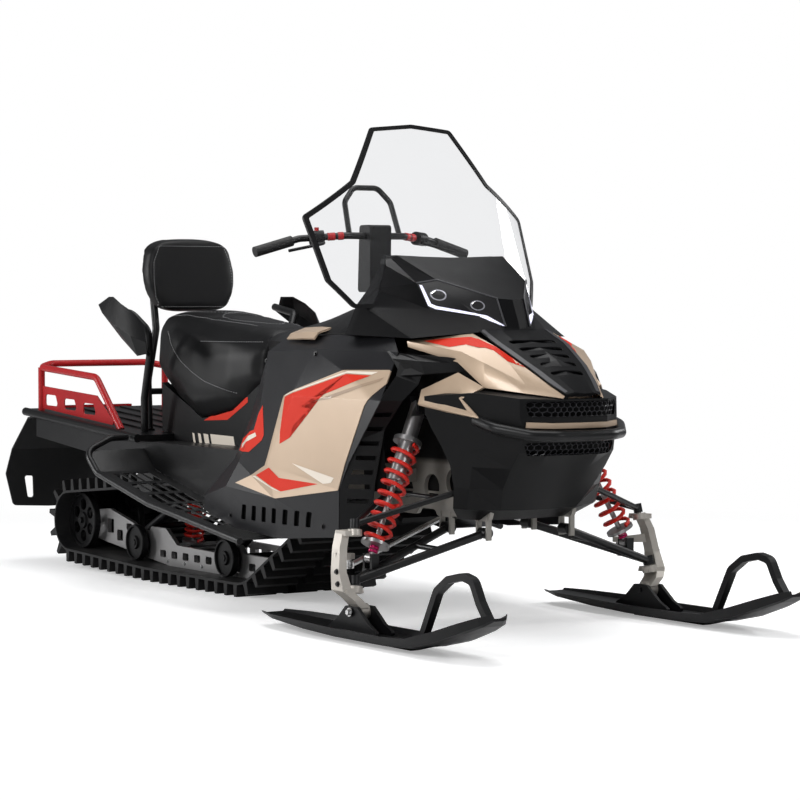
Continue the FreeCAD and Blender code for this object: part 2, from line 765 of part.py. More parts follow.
GUARD_POINTS = [
    [(-655, 352, 800), (-700, 366, 792), (-800, 372, 850), (-900, 366, 905), (-985, 352, 950)],
    [(-640, 366, 840), (-700, 392, 860), (-800, 404, 900), (-900, 396, 940), (-972, 372, 968)],
    [(-672, 352, 900), (-720, 368, 940), (-800, 376, 972), (-870, 368, 996), (-930, 352, 996)],
]


def make_hand_guard():
    """The cupped guard outside the passenger's hand hold."""
    return facet_panel(point_grid(GUARD_POINTS), SKIN)


def make_grab_handle(deck, guard):
    """A passenger hand hold: a stand tube on the deck, bent round into a grip."""
    foot = deck_z(-900) + DECK_THICKNESS - 4
    points = [
        V(-905, 226, foot), V(-880, 240, 640), V(-800, 262, 790), V(-762, 290, 880),
        V(-800, 330, 936), V(-960, 345, 958),
    ]
    stay = rod(V(-800, 262, 790), V(-682, 400, 862), 7)
    pieces = fused([tube(points, 13, 40), stay])
    return largest(pieces.cut(deck).cut(guard))


# Body panels


SIDE_GRID = [
    [(30, 236, 846), (150, 286, 868), (480, 305, 880), (759, 290, 873)],
    [(-10, 262, 812), (125, 345, 822), (443, 375, 834), (840, 330, 831)],
    [(-60, 300, 600), (165, 398, 655), (420, 436, 690), (880, 420, 690)],
    [(-110, 330, 470), (70, 422, 470), (300, 450, 470), (725, 430, 500)],
    [(-150, 420, 350), (40, 452, 392), (340, 456, 372), (668, 428, 416)],
    [(-150, 424, 304), (70, 440, 262), (345, 440, 246), (660, 424, 272)],
]
SAND_OUTLINE = [
    (348, 690), (640, 775), (846, 779), (889, 761), (800, 673), (664, 414), (350, 372), (92, 406), (272, 470),
]
INSERT_PROUD = 2.0


def side_skin():
    """The whole moulded skin of the left body side, offset inward from its grid."""
    return facet_panel(point_grid(SIDE_GRID), SKIN)


def make_side_panel():
    """The black side panel with its footwell flare, open where the light insert sits."""
    opening = side_plate(SAND_OUTLINE, 350, 500)
    panel = side_skin().cut(opening)
    vents = []
    for i in range(7):
        x = 120 + i * 62
        vents.append(side_plate([(x, 292), (x + 26, 292), (x + 40, 340), (x + 14, 340)], 400, 500, 4))
    for vent in vents:
        panel = panel.cut(vent)
    return largest(panel)


def make_side_insert(panel):
    """The light coloured insert of the side panel and the small piece by the tank."""
    insert = side_skin().common(side_plate(SAND_OUTLINE, 350, 500))
    insert.translate(V(0, INSERT_PROUD, 0))
    insert = largest(insert.cut(panel))
    tab = facet_panel(point_grid([
        [(215, 262, 898), (330, 272, 902), (392, 278, 900)],
        [(196, 304, 880), (330, 326, 886), (400, 332, 886)],
        [(190, 316, 862), (330, 342, 866), (404, 350, 866)],
    ]), 6)
    return Part.makeCompound([insert, largest(tab.cut(panel))])


FRAME_GRID = [
    [(876, 350, 800), (932, 300, 788)],
    [(893, 374, 762), (937, 324, 738)],
    [(878, 420, 690), (912, 362, 690)],
    [(735, 430, 560), (815, 362, 600)],
    [(672, 428, 416), (762, 360, 440)],
    [(664, 424, 276), (742, 360, 330)],
]
BLADE_GRID = [
    [(786, 336, 836), (864, 318, 826), (984, 254, 818), (1036, 212, 806)],
    [(841, 352, 812), (929, 312, 806), (994, 247, 800), (1030, 206, 786)],
    [(900, 360, 764), (949, 311, 768), (997, 250, 774), (1029, 207, 779)],
]


def make_front_frame(panel, insert, wings):
    """The black frame round the panel's front edge: a vented post and a forward blade."""
    post = facet_panel(point_grid(FRAME_GRID), SKIN)
    for i in range(7):
        z = 640 - i * 44
        vent = [(600, z), (1100, z), (1100, z + 14), (600, z + 14)]
        window = side_plate(vent, 368, 412)
        post = post.cut(window)
    post = largest(post)
    blade = facet_panel(point_grid(BLADE_GRID), 8)
    frame = fused([post, blade])
    return largest(frame.cut(panel).cut(insert).cut(wings))


RIDGE_LINE = [(968, 128, 893), (1066, 134, 850), (1180, 111, 790), (1255, 88, 742), (1306, 64, 711)]


def make_hood():
    """The black hood between its two ridges, with five louvres in the middle."""
    middle = [(1000, 893), (1060, 861), (1160, 813), (1250, 762), (1312, 713)]
    rows = []
    for (x, y, z), (middle_x, middle_z) in zip(RIDGE_LINE, middle):
        half_x, half_z = (x + middle_x) / 2, (z + middle_z) / 2
        rows.append([(x, y - FIT, z), (half_x, y / 2, half_z + 4), (middle_x, 0, middle_z)])
    hood = facet_panel(mirrored_grid(rows), -SKIN)
    for i in range(5):
        x = 1056 + i * 42
        half = 88 - i * 7
        slot = [(x, -half), (x + 18, -half + 8), (x + 18, half - 8), (x, half)]
        hood = hood.cut(flat_plate(slot, 700, 1000, 6))
    return hood


WING_GRID = [
    [(790, 262, 866), (968, 150, 886), (1068, 136, 848), (1190, 110, 783), (1306, 66, 709)],
    [(828, 290, 863), (1019, 227, 834), (1091, 198, 803), (1197, 129, 745), (1308, 72, 707)],
    [(833, 290, 846), (1012, 236, 803), (1110, 211, 731), (1208, 143, 717), (1308, 74, 703)],
]
CHEEK_GRID = [
    [(937, 300, 727), (1027, 245, 774), (1117, 217, 733)],
    [(929, 308, 722), (990, 280, 711), (1071, 264, 699)],
    [(951, 335, 682), (1035, 292, 663), (1131, 242, 642)],
]


def make_nose_wing(hood, pan):
    """The light coloured wing beside the hood and the small cheek piece below it."""
    wing = largest(facet_panel(point_grid(WING_GRID), SKIN).cut(hood))
    cheek = largest(facet_panel(point_grid(CHEEK_GRID), 2 * SKIN).cut(wing))
    return Part.makeCompound([largest(wing.cut(pan)), largest(cheek.cut(pan))])


PAN_GRID = [
    [(1000, 282, 712), (1112, 212, 722), (1208, 140, 712), (1290, 66, 702), (1296, 0, 701)],
    [(958, 318, 704), (1115, 238, 716), (1238, 178, 702), (1300, 98, 700), (1310, 0, 700)],
    [(964, 320, 655), (1108, 243, 648), (1240, 178, 645), (1296, 98, 640), (1304, 0, 638)],
    [(982, 310, 612), (1108, 242, 606), (1250, 165, 604), (1288, 98, 600), (1294, 0, 600)],
    [(1012, 294, 558), (1100, 246, 552), (1232, 172, 545), (1262, 98, 540), (1266, 0, 538)],
    [(1035, 280, 505), (1095, 244, 500), (1192, 174, 497), (1214, 95, 495), (1218, 0, 494)],
    [(1044, 272, 440), (1080, 242, 436), (1140, 165, 432), (1158, 88, 430), (1162, 0, 430)],
    [(1030, 265, 376), (1055, 236, 373), (1095, 140, 369), (1102, 72, 367), (1104, 0, 367)],
    [(985, 215, 340), (1010, 190, 338), (1040, 110, 336), (1046, 55, 336), (1048, 0, 336)],
    [(900, 176, 336), (902, 150, 335), (903, 100, 335), (904, 50, 335), (904, 0, 335)],
]
UPPER_MESH = [(-156, 650), (156, 650), (166, 694), (-166, 694)]
LOWER_MESH = [(-150, 536), (150, 536), (166, 574), (-166, 574)]


def make_belly_pan(bulkhead):
    """The black pan under the nose with its two grille openings."""
    pan = facet_panel(mirrored_grid(PAN_GRID), SKIN)
    for opening in (UPPER_MESH, LOWER_MESH):
        pan = pan.cut(front_plate(opening, 1150, 1400, 10))
    return largest(pan.cut(bulkhead))


def make_grille(pan, hood, wings):
    """The grille behind the nose's two openings: one bent plate with rows of slots."""
    outer = offset_grid(mirrored_grid(PAN_GRID[1:6]), SKIN + FIT)
    plate = facet_solid(outer, offset_grid(outer, SKIN))
    region = front_plate([(-172, 520), (172, 520), (172, 698), (-172, 698)], 1120, 1400)
    plate = plate.common(region)
    for low, rows, half in ((654, 2, 150), (540, 2, 144)):
        for row in range(rows):
            z = low + row * 19
            for k in range(-6, 7):
                y = k * half / 6.5
                slot = [(y - 8, z), (y + 8, z), (y + 11, z + 13), (y - 5, z + 13)]
                plate = plate.cut(front_plate(slot, 1120, 1400))
    return largest(plate.cut(pan).cut(hood).cut(wings))


def make_nose_strip(pan):
    """The light coloured strip across the front above the bumper."""
    rows = [
        [(1252, 164, 634), (1293, 98, 632), (1301, 0, 632)],
        [(1251, 165, 618), (1290, 98, 616), (1298, 0, 616)],
    ]
    outer = offset_grid(mirrored_grid(rows), -SKIN)
    strip = facet_solid(outer, offset_grid(outer, SKIN + 2))
    return largest(strip.cut(pan))


BUMPER_END = V(1104.0, 236.0, 636.0)
BUMPER_RADIUS = 16.0


def make_bumper(pan, wings):
    """The front bumper tube, let into the pan at both ends."""
    points = symmetric([BUMPER_END, V(1188, 230, 616), V(1280, 162, 597), V(1320, 98, 595), V(1325, 0, 594)])
    return largest(tube(points, BUMPER_RADIUS, 50).cut(pan).cut(wings))


# Cowl and headlamps


LENS = [(805, 165, 1045), (755, 204, 1036), (805, 192, 957), (930, 105, 936), (990, 44, 905), (952, 50, 990)]
POD_GRID = [
    [(585, 212, 1095), (620, 208, 1112), (640, 200, 1122), (648, 100, 1118), (650, 0, 1116)],
    [(600, 255, 1020), (755, 204, 1036), (805, 165, 1045), (952, 50, 990), (962, 0, 987)],
    [(600, 300, 968), (805, 192, 957), (930, 105, 936), (990, 44, 905), (1000, 0, 900)],
    [(600, 340, 880), (845, 288, 872), (968, 128, 890), (998, 60, 894), (1004, 0, 894)],
]
POD_BACK = 566.0
LENS_DEPTH = 22.0


def lens_solid(front, back):
    """The headlamp's volume between two depths measured backward from its front face."""
    loops = []
    for depth in (front, back):
        points = [V(x - depth, y, z) for x, y, z in LENS]
        loops.append(points)
    middle = [sum(loop, V(0, 0, 0)) * (1.0 / len(loop)) for loop in loops]
    faces = []
    count = len(LENS)
    for i in range(count):
        j = (i + 1) % count
        for loop, centre in zip(loops, middle):
            faces.append(Part.Face(Part.makePolygon([loop[i], loop[j], centre, loop[i]])))
        faces += facet_faces(loops[0][i], loops[0][j], loops[1][j], loops[1][i])
    shell = Part.Shell(faces)
    shell.sewShape()
    solid = Part.Solid(shell)
    if solid.Volume < 0:
        solid.reverse()
    return solid


def make_headlamp():
    """A headlamp lens that fills the cowl's recess."""
    return lens_solid(FIT, LENS_DEPTH - FIT)


def make_lamp_pod(neighbours):
    """The faceted cowl round the headlamps, seated against the windshield."""
    outer = mirrored_grid(POD_GRID)
    inner = [[V(POD_BACK, point.y, point.z) for point in row] for row in outer]
    pod = facet_solid(outer, inner)
    recess = lens_solid(-40, LENS_DEPTH)
    pod = pod.cut(recess).cut(mirrored(recess))
    for shape in neighbours:
        pod = pod.cut(shape)
    return largest(pod)


def make_nose_frame(fixed):
    """The inner moulding under hood and cowl that carries them on the bulkhead."""
    stations = [
        (640, [(0, 710), (230, 710), (270, 840), (150, 900), (0, 905)]),
        (900, [(0, 706), (236, 706), (246, 822), (130, 886), (0, 902)]),
        (1060, [(0, 706), (188, 706), (198, 768), (120, 847), (0, 862)]),
        (1180, [(0, 712), (104, 712), (110, 740), (98, 787), (0, 811)]),
        (1282, [(0, 706), (50, 706), (62, 711), (56, 722), (0, 734)]),
    ]
    half = solid_loft(stations)
    moulding = fused([half, mirrored(half)])
    for shape in fixed:
        moulding = moulding.cut(shape)
    return largest(moulding)


def make_console(fixed):
    """The dash and tank cover between seat and windshield, with a hump round the steering post."""
    floor = 710.3
    stations = [
        (-239, mirrored_section([(112, floor), (124, 850), (84, 872), (40, 876)])),
        (40, mirrored_section([(190, floor), (238, 850), (150, 898), (60, 910)])),
        (200, mirrored_section([(230, floor), (292, 872), (170, 918), (70, 956)])),
        (300, mirrored_section([(250, floor), (300, 878), (190, 934), (74, 962)])),
        (470, mirrored_section([(262, floor), (306, 882), (214, 962), (80, 972)])),
        (560, mirrored_section([(262, floor), (306, 884), (230, 988), (90, 992)])),
    ]
    console = solid_loft(stations)
    for shape in fixed:
        console = console.cut(shape)
    return largest(console)


# Front structure


def make_engine():
    return block(420, 900, -140, 140, 406.6, WALL_TOP)


WALL_Y = (146.0, 160.0)
WALL_TOP = 705.7


def pivot_lugs(pivot):
    """The two plates that hold one arm bush between them on the bulkhead's wall."""
    lugs = []
    top = max(pivot.z + 20, 352)
    for side in (-1, 1):
        near = pivot.x + side * (PIVOT_HALF + FIT)
        far = near + side * 9
        lugs.append(block(min(near, far), max(near, far), WALL_Y[0], pivot.y + 12, pivot.z - 20, top))
    return lugs


def make_bulkhead():
    """The cast front frame: two side walls notched over the tie rods, a floor, arm lugs and damper towers."""
    outline = [
        (TUNNEL_FRONT + SHEET + FIT, 406), (560, 334), (690, 334), (702, 354), (788, 354), (800, 334), (1062, 334),
        (1078, 380), (1104, 440), (1010, 560), (904, WALL_TOP),
        (790, WALL_TOP), (740, 560), (560, 480), (TUNNEL_FRONT + SHEET + FIT, 480),
    ]
    low, high = WALL_Y
    wall = side_plate(outline, low, high, 20)
    for x, z, radius in ((640, 410, 30), (770, 420, 40), (890, 440, 44), (990, 470, 30), (860, 580, 34)):
        wall = wall.cut(rod(V(x, low - 5, z), V(x, high + 5, z), radius))
    pieces = [wall]
    for pivot in LOWER_PIVOTS + UPPER_PIVOTS:
        pieces += pivot_lugs(pivot)
    for side in (-1, 1):
        near = SHOCK_HIGH.x + side * (EYE_HALF + FIT)
        far = near + side * 9
        tower = [(low, 600), (SHOCK_HIGH.y + 16, 655), (SHOCK_HIGH.y + 20, 700), (low, 700)]
        pieces.append(front_plate(tower, min(near, far), max(near, far)))
    floor = block(560, 1060, -low - 1, low + 1, 400, 406.3)
    half = fused(pieces)
    return fused([half, mirrored(half), floor])


def kingpin_direction():
    up = UPPER_BALL - LOWER_BALL
    up.normalize()
    return up


def arm(ball, pivots, radius):
    """A two-legged suspension arm with its ball housing and chassis bushes."""
    up = kingpin_direction()
    along = V(1, 0, 0)
    pieces = [rod(ball - up * 13, ball + up * 15, radius + 5)]
    for pivot in pivots:
        pieces.append(rod(pivot, ball, radius))
        pieces.append(rod(pivot - along * PIVOT_HALF, pivot + along * PIVOT_HALF, radius * 1.35))
    brace = [pivot + (ball - pivot) * 0.35 for pivot in pivots]
    pieces.append(rod(brace[0], brace[1], radius * 0.75))
    return pieces


def ball_socket(ball):
    up = kingpin_direction()
    return rod(ball - up * 40, ball + up * 8, BALL_STUD + RUNNING_GAP)


def make_lower_arm():
    """The lower arm with the two lugs of the damper's lower eye."""
    pieces = arm(LOWER_BALL, LOWER_PIVOTS, 12)
    x, y, z = SHOCK_LOW.x, SHOCK_LOW.y, SHOCK_LOW.z
    pieces.append(block(x - 26, x + 46, y - 13, y + 13, z - 44, z - 30))
    for side in (-1, 1):
        near = x + side * (EYE_HALF + FIT)
        far = near + side * 9
        pieces.append(block(min(near, far), max(near, far), y - 13, y + 13, z - 40, z + 14))
    return fused(pieces).cut(ball_socket(LOWER_BALL))


def make_upper_arm():
    return fused(arm(UPPER_BALL, UPPER_PIVOTS, 9)).cut(ball_socket(UPPER_BALL))


FRONT_SEATS = (40.0, 50.0, 112.0, 126.0)


def make_front_shock():
    """The front damper with its reservoir-less body and two spring seats."""
    low, high = SHOCK_LOW, SHOCK_HIGH
    axis = high - low
    axis.normalize()
    pieces = damper(low, high, V(1, 0, 0), EYE_HALF, 0.5, 24, 8, 15)
    near_low, far_low, near_high, far_high = FRONT_SEATS
    pieces.append(rod(low + axis * near_low, low + axis * far_low, 43))
    pieces.append(rod(high - axis * far_high, high - axis * near_high, 43))
    body = fused(pieces)
    clear = EYE_HALF + FIT
    for side in (-1, 1):
        x = high.x + side * (clear + 20)
        slab = block(x - 20, x + 20, high.y - 40, high.y + 40, high.z - 30, high.z + 60)
        body = body.cut(slab)
    return largest(body)


def make_front_spring():
    axis = SHOCK_HIGH - SHOCK_LOW
    axis.normalize()
    start = SHOCK_LOW + axis * (FRONT_SEATS[1] + FIT)
    end = SHOCK_HIGH - axis * (FRONT_SEATS[3] + FIT)
    return coil(start, end, 36.5, 6.3, 9)


# Skis


def ring_at(x, y, z, half_x, half_y):
    corners = [(-half_x, -half_y), (half_x, -half_y), (half_x, half_y), (-half_x, half_y)]
    points = [V(x + dx, y + dy, z) for dx, dy in corners]
    return Part.makePolygon(points + points[:1])


SKI_BOLT_RADIUS = 8.0
FOOT_HALF = 21.0


def make_spindle():
    """The cast spindle: column, two ball lugs, steering arm and foot over the ski bolt."""
    up = kingpin_direction()
    upper_lug = rod(UPPER_BALL - up * 34, UPPER_BALL - up * 16, 21)
    lower_lug = rod(LOWER_BALL - up * 36, LOWER_BALL - up * 16, 24)
    studs = [rod(ball - up * 30, ball + up * 6, BALL_STUD) for ball in (UPPER_BALL, LOWER_BALL)]
    column = Part.makeLoft([
        ring_at(886, 556, 316, 20, 12), ring_at(898, 574, 270, 20, 13), ring_at(909, 585, 200, 22, 13),
        ring_at(925, 584, 146, 32, 16), ring_at(946, 562, 122, 30, 15), ring_at(948, 538, 96, 28, 15),
    ], True, True)
    top_bridge = Part.makeLoft([ring_at(898, 545, 302, 26, 26), ring_at(898, 547, 317, 25, 25)], True, True)
    low_bridge = Part.makeLoft([ring_at(934, 562, 138, 28, 30), ring_at(934, 562, 153, 26, 28)], True, True)
    foot = rod(SKI_BOLT - V(0, FOOT_HALF, 0), SKI_BOLT + V(0, FOOT_HALF, 0), 24)
    eye = TIE_ROD_OUTER + V(0, 0, 12)
    steering_eye = rod(eye, eye + V(0, 0, 16), 17)
    steer = Part.makeLoft([
        Part.makePolygon([V(904, 570, 226), V(904, 592, 226), V(904, 592, 254), V(904, 570, 254), V(904, 570, 226)]),
        Part.makePolygon([V(846, 494, 226), V(846, 516, 226), V(846, 516, 242), V(846, 494, 242), V(846, 494, 226)]),
    ], True, True)
    body = fused([column, upper_lug, lower_lug, top_bridge, low_bridge, foot, steer, steering_eye] + studs)
    reach = V(0, 60, 0)
    return largest(body.cut(rod(SKI_BOLT - reach, SKI_BOLT + reach, SKI_BOLT_RADIUS + RUNNING_GAP)))


def make_tie_rod():
    """The tie rod from the steering arm to the middle of the machine, its end joint under the arm."""
    end = rod(TIE_ROD_OUTER - V(0, 0, 16), TIE_ROD_OUTER + V(0, 0, 5), 14)
    stud = rod(TIE_ROD_OUTER, TIE_ROD_OUTER + V(0, 0, 12 - FIT), 7)
    return fused([end, stud, rod(TIE_ROD_OUTER - V(0, 0, 8), TIE_ROD_INNER, 8)])


def strap(points, thickness, y_low, y_high, bend):
    """A flat strap that follows a rounded side-view line."""
    path = rounded_path([V(x, y_low, z) for x, z in points], bend)
    band = path.makeOffset2D(thickness / 2, 0, True, False, False)
    return band.extrude(V(0, y_high - y_low, 0))


def ski_section(x, low, high, share):
    """A ski's cross-section: flat sole, chamfered edges and raised side flanges."""
    half = SKI_WIDTH / 2 * share
    rim = min(half * 0.12, 10)
    floor = low + (high - low) * 0.45
    right = [(half - rim * 3, low), (half - rim, low + 4), (half, high), (half - rim, high), (half - rim * 2, floor)]
    line = right + [(-y, z) for y, z in right[::-1]]
    points = [V(x, SKI_Y + y, z) for y, z in line]
    return Part.makePolygon(points + points[:1])


SKI_SECTIONS = [
    (470, 34, 44, 0.5), (560, 26, 44, 0.8), (760, 16, 44, 1.0), (930, 10, 40, 1.0), (1180, 10, 40, 1.0),
    (1300, 16, 46, 1.0), (1420, 42, 76, 0.96), (1530, 78, 110, 0.82), (1600, 104, 132, 0.58), (1632, 122, 140, 0.3),
]


def make_ski():
    """The moulded ski: sole, keel and two cheeks that hold the spindle's foot."""
    sole = Part.makeLoft([ski_section(*section) for section in SKI_SECTIONS], True, True)
    keel = side_plate([(860, 14), (900, 0), (1230, 0), (1300, 16), (1300, 24), (860, 24)], SKI_Y - 14, SKI_Y + 14)
    pieces = [sole, keel]
    cheek_line = [(800, 24), (1110, 24), (1040, 56), (980, 101), (920, 101), (870, 56)]
    near = FOOT_HALF + FIT
    for side in (-1, 1):
        y = SKI_BOLT.y + side * (near + 5.5)
        pieces.append(side_plate(cheek_line, y - 5.5, y + 5.5, 12))
    reach = V(0, near + 16, 0)
    pieces.append(rod(SKI_BOLT - reach, SKI_BOLT + reach, SKI_BOLT_RADIUS))
    return fused(pieces)


def make_ski_loop(ski):
    """The grab loop over the tip of the ski."""
    line = [(1272, 40), (1346, 178), (1402, 215), (1470, 229), (1516, 220), (1548, 163), (1590, 112)]
    return largest(strap(line, 21, SKI_Y - 12, SKI_Y + 12, 30).cut(ski))


# Steering and cockpit


POST_RADIUS = 16.0
BUSH_RADIUS = 26.0
BAR_RADIUS = 11.0
GRIP_RADIUS = 17.0
BAR_POINTS = [V(147, 400, 1138), V(160, 250, 1180), V(220, 110, 1190), V(220, 0, 1190)]


def post_point(height):
    """A point on the steering axis, its height measured along the axis from the riser's foot."""
    lean = math.radians(STEERING_RAKE)
    return RISER_FOOT + V(-math.sin(lean), 0, math.cos(lean)) * height


def make_steering_post():
    return rod(post_point(-130), post_point(10), POST_RADIUS)


def make_steering_bush():
    """The bush in the console in which the steering post turns."""
    return ring(post_point(-110), post_point(-30), BUSH_RADIUS, POST_RADIUS + RUNNING_GAP)


def post_room():
    """What the console leaves free for the bush and the post."""
    return fused([rod(post_point(-140), post_point(20), BUSH_RADIUS + FIT)])


def make_riser():
    """The padded riser between the steering post and the bar."""
    riser = side_plate([(180, 1010), (250, 1010), (254, 1225), (190, 1225)], -40, 40, 12)
    riser = riser.cut(rod(post_point(-130), post_point(10 + FIT), POST_RADIUS + FIT))
    return riser.cut(across_rod(BAR_POINTS[-1].x, BAR_POINTS[-1].z, 60, BAR_RADIUS + FIT))


def make_handlebar():
    """The bent bar across the riser."""
    return tube(symmetric(BAR_POINTS), BAR_RADIUS, 40)


def make_grab_hoop(bar):
    """The tall hoop above the handlebar."""
    points = symmetric([V(216, 96, 1194), V(176, 88, 1300), V(163, 46, 1346), V(163, 0, 1346)])
    return largest(tube(points, 9, 36).cut(bar))


def bar_run(index):
    """Start and direction of one straight run of the left half of the bar."""
    start, end = BAR_POINTS[index], BAR_POINTS[index + 1]
    return start, end - start


def make_grip():
    """A rubber grip closed over the bar's end."""
    start, run = bar_run(0)
    direction = run * (1.0 / run.Length)
    outer = rod(start - direction * 7, start + run * 0.82, GRIP_RADIUS)
    return outer.cut(rod(start - direction * FIT, start + run * 0.9, BAR_RADIUS + FIT))


def make_bar_controls():
    """The switch block inside the grip with its lever in front of the hand."""
    start, run = bar_run(1)
    inner = rod(start + run * 0.1, start + run * 0.6, BAR_RADIUS + FIT)
    shell = rod(start + run * 0.22, start + run * 0.52, 22)
    lever = tube([start + run * 0.4 + V(6, 6, -14), V(232, 190, 1166), V(214, 322, 1140)], 5, 20)
    perch = rod(start + run * 0.32, start + run * 0.32 + V(16, 16, -16), 10)
    return largest(fused([shell, lever, perch]).cut(inner))


SHIELD_FOOT_X = 666.4
SHIELD_LEAN = 0.43
SHIELD_SIDE = [(149, 0.9756), (257, 0.679), (411, 0.487), (390, 0.141), (336, 0.0)]


def shield_x(z):
    return SHIELD_FOOT_X - (z - SHIELD_FOOT) * SHIELD_LEAN


def shield_band(thickness):
    """The bent sheet of the windshield before its outline is cut."""
    sweeps = [(412, -108), (340, -60), (257, -25), (149, -7), (0, 0)]
    plan = [(-y, dx) for y, dx in sweeps] + [(y, dx) for y, dx in sweeps[-2::-1]]
    low = SHIELD_FOOT - 60
    high = SHIELD_TOP + 60
    foot, head = shield_x(low), shield_x(high)
    lines = []
    for offset in (thickness / 2, -thickness / 2):
        curve = Part.BSplineCurve()
        curve.interpolate([V(foot + dx + offset, y, low) for y, dx in plan])
        lines.append(curve.toShape())
    ends = []
    for y, dx in (plan[-1], plan[0]):
        front = V(foot + dx + thickness / 2, y, low)
        ends.append(Part.LineSegment(front, front - V(thickness, 0, 0)).toShape())
    face = Part.Face(Part.Wire([lines[0], ends[0], lines[1], ends[1]]))
    return face.extrude(V(head - foot, 0, high - low))


def shield_cutter(inset):
    """The windshield's outline in the front view, drawn in by an inset."""
    height = SHIELD_TOP - SHIELD_FOOT
    right = [V(0, y, SHIELD_FOOT + share * height) for y, share in SHIELD_SIDE]
    outline = [V(0, 0, SHIELD_TOP)] + right + [V(0, 0, SHIELD_FOOT)]
    full = outline + [left_point(point) for point in outline[-2:0:-1]]
    wire = rounded_path(full, 18, closed=True)
    if inset:
        wire = wire.makeOffset2D(-inset)
    solid = Part.Face(wire).extrude(V(700, 0, 0))
    solid.translate(V(200, 0, 0))
    return solid


def make_windshield():
    return shield_band(4).common(shield_cutter(0))


def make_windshield_trim(shield):
    """The black edging that grips the windshield's rim."""
    edge = shield_cutter(-2).cut(shield_cutter(11))
    return largest(shield_band(10).common(edge).cut(shield))


def main():
    os.makedirs("parts", exist_ok=True)
    save("track", make_track())
    save("drive_axle", make_drive_axle())
    save("slide_rails", make_slide_rails())
    save("rear_idlers", make_rear_idlers())
    save("bogie_wheels", make_bogie_wheels())
    save("skid_arms", make_skid_arms())
    save("skid_shock", make_skid_shock())
    save("skid_spring", make_skid_spring())
    save("tunnel", make_tunnel())
    save("running_boards", both_sides(make_running_board()))
    deck = make_cargo_deck()
    save("cargo_deck", deck)
    save("cargo_rack", make_cargo_rack(deck))
    save("snow_flap", make_snow_flap())
    save("tail_lamp", make_tail_lamp())
    save("hitch_tongue", make_hitch())

    seat = make_seat()
    save("seat", seat)
    save("seat_base", make_seat_base(seat))
    pad = make_backrest_pad()
    save("backrest_pad", pad)
    save("backrest_frame", make_backrest_frame(pad, deck))
    guard = make_hand_guard()
    save("hand_guards", both_sides(guard))
    save("grab_handles", both_sides(make_grab_handle(deck, guard)))

    save("engine_block", make_engine())
    bulkhead = make_bulkhead()
    save("bulkhead", bulkhead)
    save("lower_arms", both_sides(make_lower_arm()))
    save("upper_arms", both_sides(make_upper_arm()))
    save("front_shocks", both_sides(make_front_shock()))
    save("front_springs", both_sides(make_front_spring()))

    panel = make_side_panel()
    save("side_panels", both_sides(panel))
    insert = make_side_insert(panel)
    save("side_inserts", both_sides(insert))
    pan = make_belly_pan(bulkhead)
    save("belly_pan", pan)
    hood = make_hood()
    save("hood", hood)
    wings = both_sides(make_nose_wing(hood, pan))
    save("nose_wings", wings)
    frame = make_front_frame(panel, insert, wings)
    save("front_frames", both_sides(frame))
    save("grille", make_grille(pan, hood, wings))
    save("nose_strip", make_nose_strip(pan))
    save("bumper", make_bumper(pan, wings))

    shield = make_windshield()
    trim = make_windshield_trim(shield)
    save("windshield", shield)
    save("windshield_trim", trim)
    panels = both_sides(Part.makeCompound([panel, insert, frame]))
    pod = make_lamp_pod([shield, trim, hood, wings, panels])
    save("lamp_pod", pod)
    save("headlamps", both_sides(make_headlamp()))
    save("nose_frame", make_nose_frame([hood, wings, pan, pod, panels, bulkhead]))
    save("console", make_console([panels, pod, shield, trim, post_room()]))

    save("steering_bush", make_steering_bush())
    save("steering_post", make_steering_post())
    save("riser", make_riser())
    bar = make_handlebar()
    save("handlebar", bar)
    save("grab_hoop", make_grab_hoop(bar))
    save("grips", both_sides(make_grip()))
    save("bar_controls", both_sides(make_bar_controls()))

    ski = make_ski()
    halves = {
        "spindle": make_spindle(),
        "tie_rod": make_tie_rod(),
        "ski": ski,
        "ski_loop": make_ski_loop(ski),
    }
    for name, shape in halves.items():
        save(name + "_left", shape)
        save(name + "_right", mirrored(shape))


main()
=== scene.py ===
# %% [markdown]
# # A snowmobile in the studio
# This lesson dresses a snowmobile that was drawn as solids. It gives each part a
# finish, sews the seat, adds the small trim and sets up the camera for one picture.
# Everything is in metres. X points forward, Y to the machine's left, Z up.

# %% Load the frame
import math
import random
import bmesh
import bpy
from mathutils import Matrix, Vector
from mathutils.bvhtree import BVHTree
from mathutils.kdtree import KDTree


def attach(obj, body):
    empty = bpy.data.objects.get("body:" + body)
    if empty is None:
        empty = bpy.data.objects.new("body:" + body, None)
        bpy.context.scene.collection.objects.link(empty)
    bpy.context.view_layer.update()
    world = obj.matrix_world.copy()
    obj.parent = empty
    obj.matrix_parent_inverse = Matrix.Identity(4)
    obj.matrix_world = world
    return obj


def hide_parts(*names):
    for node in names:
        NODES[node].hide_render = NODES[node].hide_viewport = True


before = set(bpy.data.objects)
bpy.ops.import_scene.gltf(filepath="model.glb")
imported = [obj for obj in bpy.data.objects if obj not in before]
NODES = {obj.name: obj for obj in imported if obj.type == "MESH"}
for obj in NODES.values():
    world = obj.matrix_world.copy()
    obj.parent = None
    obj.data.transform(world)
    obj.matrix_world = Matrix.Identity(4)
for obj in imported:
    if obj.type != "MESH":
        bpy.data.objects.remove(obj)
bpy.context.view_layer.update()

random.seed(7)
print("nodes loaded:", len(NODES))

# %% [markdown]
# ## Shader effects as node groups
# An effect that several finishes use is built once, as a group with named sockets.
# Each group returns a colour, a value or a normal. The finish itself keeps its
# Principled shader, so its shine is easy to read and to change.

